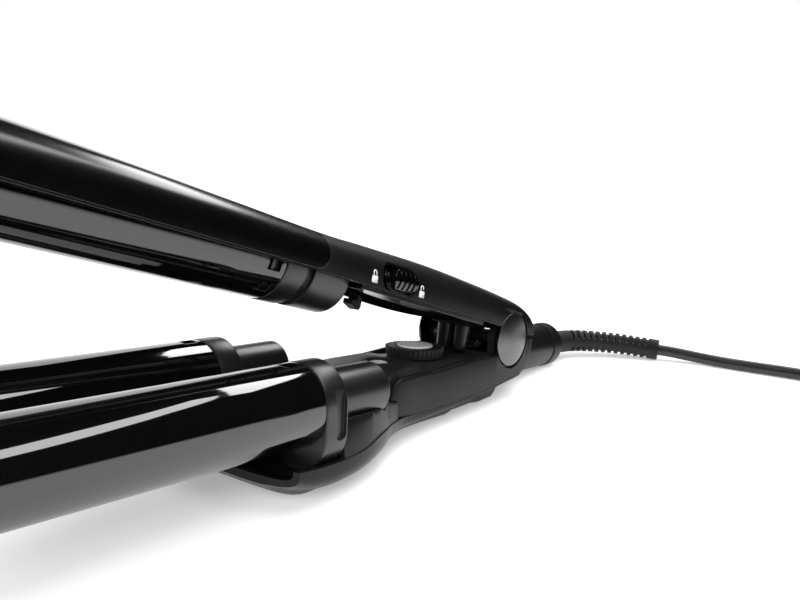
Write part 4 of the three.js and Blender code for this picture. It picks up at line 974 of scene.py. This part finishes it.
for name, station, height, opened in (("lockedSign", 102, 10.5, False), ("openSign", 73.5, 9.75, True)):
    made = piece(name, padlockSign(station, height, opened), onUpper, iconWhite)
    thick = made.modifiers.new("inkFilm", "SOLIDIFY")
    thick.thickness = padlock["film"]
    thick.offset = 0
print("lock made")


# ---- lower arm: hull and inner shell
lowerArm = {
    "parting": 11, "panelEnd": 88, "trayHalf": 38.6, "rimDrop": 24, "trayEnd": 157, "waistLift": 2.4,
    "wallTop": 5.4, "deckThickness": 2.2, "deckStart": 23, "deckDrop": 6, "power": 3.2,
    "lugThickness": 3.6, "screwStation": 68, "screwWell": 5.5, "catchWidth": 8,
}
panelEnd, trayEnd, well, trayHalf = (lowerArm[k] for k in (
    "panelEnd", "trayEnd", "screwStation", "trayHalf"))
lift = lowerArm["waistLift"]
partingLine = [(-30, -15.4), (-6, -16.8), (15, -19.5), (32, -21.4), (51, -22.1), (70, -22.2),
               (88, -21.6), (110, -21)]
hullWidthLine = [(-30, 21.5), (0, 22.5), (40, 22.2), (74, 22.3), (90, 26.9), (104, 33.8), (120, 38),
                 (140, trayHalf), (170, 36.2)]
hullRimLine = [(panelEnd, reading(partingLine, panelEnd)), (104, -20.6), (120, -23), (140, -24),
               (170, -23)]
hullLiftLine = [(-30, 1), (0, 0), (25, 0.4), (60, lift), (85, lift), (108, 0.2), (124, 0), (134, 0.6),
                (143, 4), (150, 8.6), (157, 13.4), (170, 22)]
# Near the hinge the sides end well above the table, and a keel carries the arm.
sideLiftLine = [(-30, 10.4), (0, 10.2), (20, 9.4), (34, 8), (51, 5.4), (70, 4.2), (88, 4),
                (104, 3.8), (120, 3.6), (134, 3.2), (146, 1.6), (157, 0), (170, 0)]
keel = {"outer": 17, "inner": 10, "wider": 12, "start": 60, "end": 112}


def hullRimAt(station):
    return reading(partingLine if station < panelEnd else hullRimLine, station)


def hullFloorAt(station):
    table = -(stance["hingeHeight"] + station * sin(heelPitch)) / cos(heelPitch)
    return table + max(reading(hullLiftLine, station), 0)


def hullBody(start, end, count, inset, base=None, steps=72):
    rings = []
    for at in spread(start, end, count):
        rim, edge = hullRimAt(at), hullRimAt(at) - upperArm["edge"]
        rise = max(reading(sideLiftLine, at), 0)
        crown = min(hullFloorAt(at) + (inset if inset > 0 else -0.6) + rise, rim - 1.6)
        ring = archRing(at, reading(hullWidthLine, at) - inset, rim if base is None else base,
                        edge, crown, lowerArm["power"], steps)
        if inset == 0:
            drop = crown - hullFloorAt(at) + 0.6
            outer = keel["outer"] + keel["wider"] * smoothStep(at, keel["start"], keel["end"])
            ring = [(x, y, z - drop * smoothStep(outer - abs(y), 0, keel["outer"] - keel["inner"])
                     * smoothStep(edge - z, 0, 1)) for x, y, z in ring]
        rings.append(ring)
    return loft(rings)


# The skirt between the tray's rim and the neck: it cradles the neck up to the collar.
skirt = {"start": 84, "end": 129.6, "thick": 1.4, "inset": 0.5, "top": -11.2, "reach": 35.7}


def neckSkirt(side):
    rings = []
    for at in spread(skirt["start"], skirt["end"], 40):
        half, rim = reading(hullWidthLine, at), hullRimAt(at)
        top = skirt["top"] - 3.4 * (1 - smoothStep(at, skirt["start"], skirt["start"] + 16))
        reach = min(half - 1.1, skirt["reach"])
        low = half - skirt["inset"]
        inside = low - skirt["thick"] - 0.4
        ring = [(low, rim - 1.2), (low, rim + 0.6), (low - 0.25 * (low - reach), rim + 0.4 * (top - rim)),
                (low - 0.6 * (low - reach), rim + 0.75 * (top - rim)), (reach, top - 0.4),
                (reach - 0.4, top), (reach - skirt["thick"], top), (inside, rim + 0.6),
                (inside, rim - 1.2)]
        rings.append([(-at, side * y, z) for y, z in ring])
    return loft(rings)


def heelTrim(inset):
    radius = heel - inset
    foot = -radius * 0.34
    outline = [(-radius * sin(a), -radius * cos(a)) for a in spread(0.35, pi / 2, 40)]
    return plateAcross(outline + [(-radius, far), (far, far), (far, -far), (foot + 4, -far),
                                  (foot + 4, -radius - 3), (foot, -radius * 0.99)], -far, far)


rearWay = bar(plain(-far, -heel + 8, swivel["collarDiameter"] / 2 + gap), 0, -swivel["drop"])
neckWays = [bar(plain(neckStart - 0.6, far, barrels["neckRadius"] + gap), side * halfSpacing, lowerAxis)
            for side in (-1, 1)]


def outerShell():
    hollow = within(hullBody(-heel + wall, trayEnd + 4, 60, wall, 2, 48), heelTrim(wall))
    low, ribTop = -far / 8, -lowerArm["rimDrop"]
    cradle = joined(box(neckStart + 4, neckStart + 7, -trayHalf, trayHalf, low, ribTop + 8),
                    box(collarStation + 2, collarStation + 5, -trayHalf, trayHalf, low, ribTop - 2),
                    box(neckStart, trayEnd - 12, -1.1, 1.1, low, ribTop - 6))
    bow = [(-far, -far), *((trayEnd - 7 * (y / 38) ** 2, y) for y in spread(-39, 39, 26)), (-far, far)]
    table = placed(box(-far, far, -far, far, -far, -stance["hingeHeight"]), -stance["lowerPitch"], "Y")
    tools = [table, rearWay, post(plain(-22.5, 0, 1.7), well, 0)]
    for side, neckWay in zip((-1, 1), neckWays):
        y = side * halfSpacing
        tools += [neckWay, bar(plain(neckEnd, trayEnd + 5, collarRadius + gap), y, lowerAxis, 128),
                  bar(plain(neckEnd, barrelStart, collarRadius + gap), y,
                      lowerAxis - barrels["collarDrop"], 128)]
    shell = combine(hullBody(-heel, trayEnd, 90, 0), [
        ("INTERSECT", heelTrim(0)), ("DIFFERENCE", hollow),
        ("UNION", within(cradle, hullBody(-heel, trayEnd, 90, 0))),
        ("UNION", post(plain(hullFloorAt(well) + 0.5, -14.3, 4), well, 0)),
        ("UNION", neckSkirt(-1)), ("UNION", neckSkirt(1)), ("INTERSECT", plateUp(bow, -far, far))])
    return cut(shell, *tools, *discRecess)


piece("lowerHull", outerShell(), onLower, satinBlack, "lower_outer_shell")


def mirrored(ring):
    return [(x, -y, z) for x, y, z in reversed(ring)]


# The side walls above the parting line, as a band of the arm's outline.
def wallBand(start, end, inset, lowShift, highShift):
    rings = []
    for at in spread(start, 0, 14) + spread(4, end - 9, 22) + spread(end - 8.6, end, 24):
        nose = sqrt(max(1 - max((at - end + 9) / 9, 0) ** 2, 0))
        half = reading(hullWidthLine, min(at, 74)) - inset
        low = reading(partingLine, at) + 0.12 + lowShift
        rear = min(max(4 - at, 0) / heel * 2, 1)
        sunk = lowerArm["wallTop"] + 1.1 * smoothStep(at, 30, 60)
        top = -sunk + highShift + (lowerArm["wallTop"] - gap) * rear
        high = low + (top - low) * (0.16 + 0.84 * nose)
        ring = [(-at, half, low), (-at, half, high - 1.2), (-at, half - 0.25, high - 0.5),
                (-at, half - 0.9, high)]
        rings.append(ring + [(-at, 0, high)] + mirrored(ring) + [(-at, 0, low)])
    return loft(rings)


# The deck under the dial: a tongue that widens into a ramp towards the barrels.
def deckPlate():
    half = reading(hullWidthLine, 60) - wall + 0.6
    tongueLine = [(12, 11.6), (44, 12), (58, 13), (panelEnd - 2, half - 1)]
    heightLine = [(0, -6.3), (30, -6.3), (52, -5.6), (60, -4.3), (70, -4.6), (85, -5.8),
                  (panelEnd + 16, -9.5)]
    thick, rings = lowerArm["deckThickness"], []
    for at in spread(lowerArm["deckStart"], neckStart + 3, 46):
        shoulder = min(reading(tongueLine, min(at, panelEnd - 2)), half - 1)
        high = reading(heightLine, at)
        ring = [(-at, half, high - 7 - thick), (-at, half, high - 7), (-at, shoulder + 0.5, high - 0.45),
                (-at, shoulder - 0.3, high)]
        rings.append(ring + mirrored(ring) + [(-at, y, high - thick) for y in (-shoulder, shoulder)])
    slot = box(lockAt + 1, lockAt + 4 + belly["hookLength"] + lock["travel"],
               -lowerArm["catchWidth"] / 2, lowerArm["catchWidth"] / 2, -30, 6)
    cup = post(plain(-14, -lowerArm["deckDrop"] - 0.6, lowerArm["screwWell"] + 1.4), well, 0)
    return cut(joined(loft(rings), cup), post(plain(-12.4, 4, lowerArm["screwWell"]), well, 0), slot,
               post(plain(-40, 6, 3.5), dial["station"], 0), post(plain(-40, 0, 1.9), well, 0))


dial = {
    "station": 44, "radius": 12.8, "thickness": 4.2, "top": -1.1, "teeth": 38, "tooth": 0.85,
    "faceRadius": 7.7, "faceThickness": 0.7, "gap": 0.3,
}


def innerShell():
    hollow = within(wallBand(-heel + wall, panelEnd + 12, wall, -0.6, 4), heelTrim(wall))
    half = halfWidth - wall
    lugOuter = half - upperArm["lugThickness"] - upperArm["lugGap"]
    lugInner, foot = lugOuter - lowerArm["lugThickness"], -lowerArm["parting"] - 2
    parts = [deckPlate(), box(7.6, lowerArm["deckStart"] + 1.5, -lugOuter, lugOuter, -8.6, -6.25),
             box(13.2, lowerArm["deckStart"] + 1, -half - 0.1, half + 0.1, -9.1, -6.8)]
    ways = []
    for side in (-1, 1):
        a, b = sorted((side * lugInner, side * lugOuter))
        parts += [crossBar(plain(a, b, lugRadius), 0, 0), box(-6.5, 6.5, a, b, foot, 0),
                  box(-10, 12, a, b, foot, -6.3)]
        c, d = sorted((side * (lugOuter + 0.25), side * (half - 0.3)))
        ways += [crossBar(plain(c, d, lugRadius + 0.6), 0, 0),
                 post(plain(-40, 4, bumper["topRadius"] + 1.6), bumper["station"] + 0.8,
                      side * bumper["spacing"] / 2)]
    walls = combine(wallBand(-heel, panelEnd, 0, 0, 0), [
        ("INTERSECT", heelTrim(0)), ("DIFFERENCE", hollow)])
    return cut(joined(walls, *parts), crossBar(plain(-far, far, 3.02), 0, 0, 48), rearWay, *ways,
               *neckWays, *discRecess)


piece("lowerInnerShell", innerShell(), onLower, deckBlack, "lower_inner_shell")
print("lower arm made")


# ---- dial, screw and hinge
def dialWheel():
    teeth, tooth, at = dial["teeth"], dial["tooth"], dial["station"]
    top, low = dial["top"], dial["top"] - dial["thickness"]
    rings = []
    for z, inset in ((low, 0.9), (low + 0.25, 0.6), (low + 0.5, 0.5), (top - 0.9, 0.35), (top - 0.85, 0),
                     (top - 0.3, 0), (top - 0.08, 0.12), (top, 0.45)):
        ring = []
        for k in range(teeth * 10):
            a = 2 * pi * k / (teeth * 10)
            r = dial["radius"] - inset - tooth * (1 - smoothStep(cos(a * teeth), -0.55, 0.55))
            ring.append((-at - r * cos(a), r * sin(a), z))
        rings.append(ring)
    seat = post(plain(top - 0.4, top + 1, dial["faceRadius"] + dial["gap"]), at, 0)
    return joined(cut(loft(rings), seat), post(plain(low - 8, low + 0.4, 3), at, 0))


piece("dialWheel", dialWheel(), (lowerFrame, "dial"), dialPlastic, "dial_wheel")
faceTop, faceFoot = dial["top"] + dial["faceThickness"], dial["top"] - 0.1
faceProfile = eased([(faceFoot, 0), (faceFoot, dial["faceRadius"]), (faceTop, dial["faceRadius"]),
                     (faceTop + 0.001, 0)], 0.35)
piece("dialFace", post(faceProfile, dial["station"], 0, 96), (lowerFrame, "dial"), dialGrey, "dial_face")


def deckScrew():
    head = post(eased([(-12.1, 0), (-12.1, 4.2), (-5.6, 4.2), (-5, 3.2), (-5, 0)], 0.5), well, 0)
    shank = post([(-22, 0), (-21, 1.1), (-20.4, 1.5), (-12, 1.5), (-12, 0)], well, 0, 32)
    return cut(joined(head, shank), *(placed(box(-2.4, 2.4, -0.5, 0.5, -6.4, -3), turn, "Z", (-well, 0, 0))
                                      for turn in (20, 110)))


piece("deckScrew", deckScrew(), onLower, screwSteel, "deck_screw")


def hingeDisc(side):
    radius, ease = disc["radius"], disc["ease"]
    inner, edge = discFace - disc["thickness"], discFace - disc["dome"]
    profile = [(discFace - disc["dome"] * a * a, (radius - ease) * a) for a in spread(0, 1, 16)]
    profile += [(edge - ease * (1 - cos(a)), radius - ease + ease * sin(a)) for a in spread(0.3, pi / 2, 5)]
    return crossBar([(side * s, r) for s, r in profile + [(inner, radius), (inner, 0)]], 0, 0, 128)


for name, side in arms.items():
    piece(name + "HingeDisc", hingeDisc(side), onLower, discGrey, name + "_hinge_cap")


# ---- swivel, strain relief and plug
def rearCollar():
    radius, end, inner = swivel["collarDiameter"] / 2, swivel["collarEnd"], -heel + 5.5
    profile = eased([(-end, 6.5), (-end, radius), (inner, radius), (inner, radius - 2.2),
                     (-end + 6, radius - 2.2), (-end + 6, 6.5)], 0.5, 4, True)
    return bar(profile, 0, -swivel["drop"], 96, True)


def swivelRing():
    start, radius = -swivel["collarEnd"] - swivel["groove"], swivel["ringDiameter"] / 2
    end = start - swivel["ringLength"]
    return bar([(end, 0)] + quarter(end, radius, 1.6, -1.6) + eased([
        (end + 3, radius), (start, radius), (start, 6), (start + 10, 6), (start + 10, 7.7),
        (start + 13, 7.7), (start + 13, 0)], 0.45), 0, -swivel["drop"])


piece("rearCollar", rearCollar(), onLower, satinBlack, "rear_collar")
piece("swivelRing", swivelRing(), (lowerFrame, "cord_swivel"), satinBlack, "swivel_ring")


def strainRelief():
    length, ribs, core = lengthOf(reliefLine), relief["ribs"], relief["coreRadius"]
    start, end, soft = relief["plain"] / length, 1 - relief["end"] / length, relief["round"] / length
    step = (end - start) / ribs
    shares = [(0, 0), (soft, 1), (start - soft, 1)]
    shares += [(start + (i + part) * step, full) for i in range(ribs) for part, full in (
        (0, 1), (0.04, 0.5), (0.1, 0), (0.42, 0), (0.47, 0.5), (0.52, 1), (0.96, 1))]
    shares += [(end + 0.02, 1), (1 - soft, 1), (1, 0.86)]
    rings = []
    for (centre, along), (share, full) in zip(alongLine(reliefLine, [s for s, _ in shares]), shares):
        across = along.cross(Vector((0, 0, 1))).normalized()
        normal = across.cross(along).normalized()
        wide = relief["rootRadius"] + (relief["tipRadius"] - relief["rootRadius"]) * share
        ring = []
        for k in range(relief["sides"]):
            a = 2 * pi * (k + 0.5) / relief["sides"]
            web = smoothStep(abs(cos(a)), relief["webShare"] - 0.05, relief["webShare"] + 0.05)
            radius = core + (wide - core) * (max(full, web) if share > 0.001 else 0.9)
            ring.append(centre + across * radius * cos(a) + normal * radius * sin(a))
        rings.append(ring)
    return loft(rings)


piece("strainRelief", strainRelief(), (tableFrame, "cord_swivel"), boot, "strain_relief", sharp=32)
mainsCord.data.materials.append(sheath.material)

plug = {"length": 34, "width": 26, "height": 18.4, "pin": 4, "pinLength": 19, "pinSpacing": 19}
onPlug = (tableFrame @ Matrix.Translation(plugStart + plugAlong * gap)
          @ Matrix.Rotation(atan2(plugAlong.y, plugAlong.x), 4, "Z"), "cord_swivel")


def plugBody():
    length, wide, tall, rings = plug["length"], plug["width"] / 2, plug["height"] / 2, []
    sections = [(0, 4.4, 4.4), (4, 4.6, 4.6), (9, 5.2, 5.2), (14, wide - 3, tall - 1.4), (20, wide, tall),
                (length - 1, wide, tall)]
    for x in spread(0, length - 1, 44) + [length - 0.5, length]:
        ease = max(x - length + 1, 0) ** 2
        grip = 0.5 * max(sin((x - 1) * pi / 1.6), 0) if 1 < x < 9 else 0
        y, z = (reading([(row[0], row[k]) for row in sections], min(x, length - 1)) - ease - grip
                for k in (1, 2))
        rings.append([(x, y * copysign(abs(cos(a)) ** 0.6, cos(a)), z * copysign(abs(sin(a)) ** 0.6, sin(a)))
                      for a in spread(0, 2 * pi, 64)[:-1]])
    return loft(rings)


def plugPin(side):
    start, radius = plug["length"] + gap, plug["pin"] / 2
    end = start + plug["pinLength"]
    profile = [(start, 0), (start, radius)] + quarter(end, radius, -1.4, -1.4, 6)[::-1] + [(end, 0)]
    return revolve(profile, lambda x, r, a: (x, side * plug["pinSpacing"] / 2 + r * cos(a), r * sin(a)), 48)


plugPieces = [piece("plugBody", plugBody(), onPlug, boot, "plug_body"),
              piece("plugPinA", plugPin(-1), onPlug, pinMetal, "plug_pin_a"),
              piece("plugPinB", plugPin(1), onPlug, pinMetal, "plug_pin_b")]
tuple(cordPoints[0] * 0.001)
print("swivel, cord and plug made")


# ---- studio
studio = {
    "floorColour": 0.82, "floorGlow": 0.3, "worldFill": 0.3, "aim": (-0.15, 0.0, 0.04),
    # Azimuth, elevation, distance, width, height and watts of each lamp.
    "lamps": {
        "keyLamp": (-100, 62, 1.6, 1.2, 1.0, 16),
        "topLamp": (30, 78, 1.5, 1.4, 1.0, 14),
        "frontLamp": (-142, 27, 1.5, 0.9, 0.5, 22),
    },
    # Cards seen only in reflections: (azimuth, lowest, highest elevation) along each, and brightness.
    "cards": {
        "blobCard": ([(-12, 39.4, 42.4), (-4, 37.6, 43.8), (6, 34, 44.2), (20, 30, 42.6),
                      (29, 30, 38.4), (34, 31, 34)], 8.5),
        "lineCard": ([(-90, 38, 52), (-62, 40, 54), (-44, 43, 54), (-31, 44.6, 53), (-15, 44, 50.4),
                      (-6, 44.8, 48.4)], 6.5),
        "backCard": ([(44.5, 4, 12.5), (47.5, 2, 19), (49.5, 0, 29), (51, 0, 40), (61, 0, 42),
                      (80, 0, 42)], 1.7),
        "lowCard": ([(16, -6, 4), (40, -6, 5), (78, -6, 6)], 0.8),
        "topCard": ([(100, 58, 84), (200, 58, 84)], 1.5),
    },
    "cardDistance": 1.3, "cardColumns": 48, "cardRows": 12, "tentRadius": 1.6,
    "tableFade": (0.26, 0.52), "openTable": (14, 80), "tableHalf": 9, "shadeLift": 0.0012,
}


def aimedAt(azimuth, elevation):
    a, e = radians(azimuth), radians(elevation)
    return Vector((cos(a) * cos(e), sin(a) * cos(e), sin(e)))


for name, (azimuth, elevation, distance, wide, tall, watts) in studio["lamps"].items():
    data = bpy.data.lights.new(name, "AREA")
    data.shape = "RECTANGLE"
    data.size, data.size_y, data.energy = wide, tall, watts
    made = linked(name, data)
    made.location = Vector(studio["aim"]) + aimedAt(azimuth, elevation) * distance
    made.rotation_euler = aimedAt(azimuth, elevation).to_track_quat("Z", "Y").to_euler()
    made.visible_glossy = False


# A sheet with a finish that shows only in reflections.
def reflectedSheet(name, points, columns, finish):
    faces = [[i, i + 1, i + columns + 2, i + columns + 1] for i in range(len(points) - columns - 2)
             if (i + 1) % (columns + 1)]
    mesh = bpy.data.meshes.new(name)
    mesh.from_pydata(points, [], faces)
    mesh.materials.append(finish.material)
    made = linked(name, mesh)
    for kind in ("camera", "diffuse", "shadow", "transmission", "volume_scatter"):
        setattr(made, "visible_" + kind, False)


def skyPatch(name, edges, distance, finish):
    def at(azimuth, share):
        before = max([edge for edge in edges[:-1] if edge[0] <= azimuth])
        after = edges[edges.index(before) + 1]
        part = (azimuth - before[0]) / (after[0] - before[0])
        low, high = (before[k] + (after[k] - before[k]) * part for k in (1, 2))
        return Vector(studio["aim"]) + aimedAt(azimuth, low + (high - low) * share) * distance
    columns = studio["cardColumns"]
    reflectedSheet(name, [at(azimuth, share) for share in spread(0, 1, studio["cardRows"])
                          for azimuth in spread(edges[0][0], edges[-1][0], columns)], columns, finish)


def darkFinish(name):
    return Finish(name).set(baseColor=grey(0), roughness=1.0, specularIorLevel=0)


for name, (edges, brightness) in studio["cards"].items():
    paper = Finish(name + "Paper").set(baseColor=grey(0), emissionColor=grey(1),
                                       emissionStrength=brightness)
    skyPatch(name, edges, studio["cardDistance"], paper)

half = studio["tableHalf"]
table = linked("table", meshOf([(-half, -half, 0), (half, -half, 0), (half, half, 0), (-half, half, 0)],
                               [[0, 1, 2, 3]]))
tableTop = Finish("tableTop").set(baseColor=grey(studio["floorColour"]), roughness=0.9,
                                  emissionColor=grey(1), specularIorLevel=0)
glow = tableTop.node("ShaderNodeEmission", None, {
    "Color": grey(1),
    "Strength": studio["floorGlow"] + tableTop.length(tableTop.place).above(0.45, 1.1) * 0.7})
lit = tableTop.node("ShaderNodeAddShader", None, {0: tableTop.main, 1: glow})
tableTop.shows(tableTop.seen(), tableTop.main, lit)
table.data.materials.append(tableTop.material)

world = bpy.data.worlds.new("studioWorld")
world.use_nodes = True
scene.world = world
sky = Nodes(world.node_tree)
sky.tree.nodes.clear()
background = sky.node("ShaderNodeBackground", None, {
    "Color": grey(1), "Strength": studio["worldFill"] + sky.seen() * (1 - studio["worldFill"])})
sky.tree.links.new(background.socket, sky.tree.nodes.new("ShaderNodeOutputWorld").inputs["Surface"])

# Black studio curtains and a black ring on the table: they show only in reflections.
skyPatch("curtains", [(0, -3, 90), (360, -3, 90)], studio["tentRadius"], darkFinish("curtainVelvet"))
shade = darkFinish("tableShade")
offset = shade.node("ShaderNodeVectorMath", {"operation": "SUBTRACT"}, {0: shade.place, 1: studio["aim"]})
shade.shows(shade.length(offset).above(*studio["tableFade"]),
            shade.node("ShaderNodeBsdfTransparent"), shade.main)
openStart, openEnd = studio["openTable"]
reflectedSheet("blackout", [(studio["aim"][0] + r * cos(radians(a)), r * sin(radians(a)), studio["shadeLift"])
                            for r in (studio["tableFade"][0], half)
                            for a in spread(openEnd, openStart + 360, 72)], 72, shade)

scene.view_settings.view_transform = "Standard"
print("studio set")

bpy.context.view_layer.update()
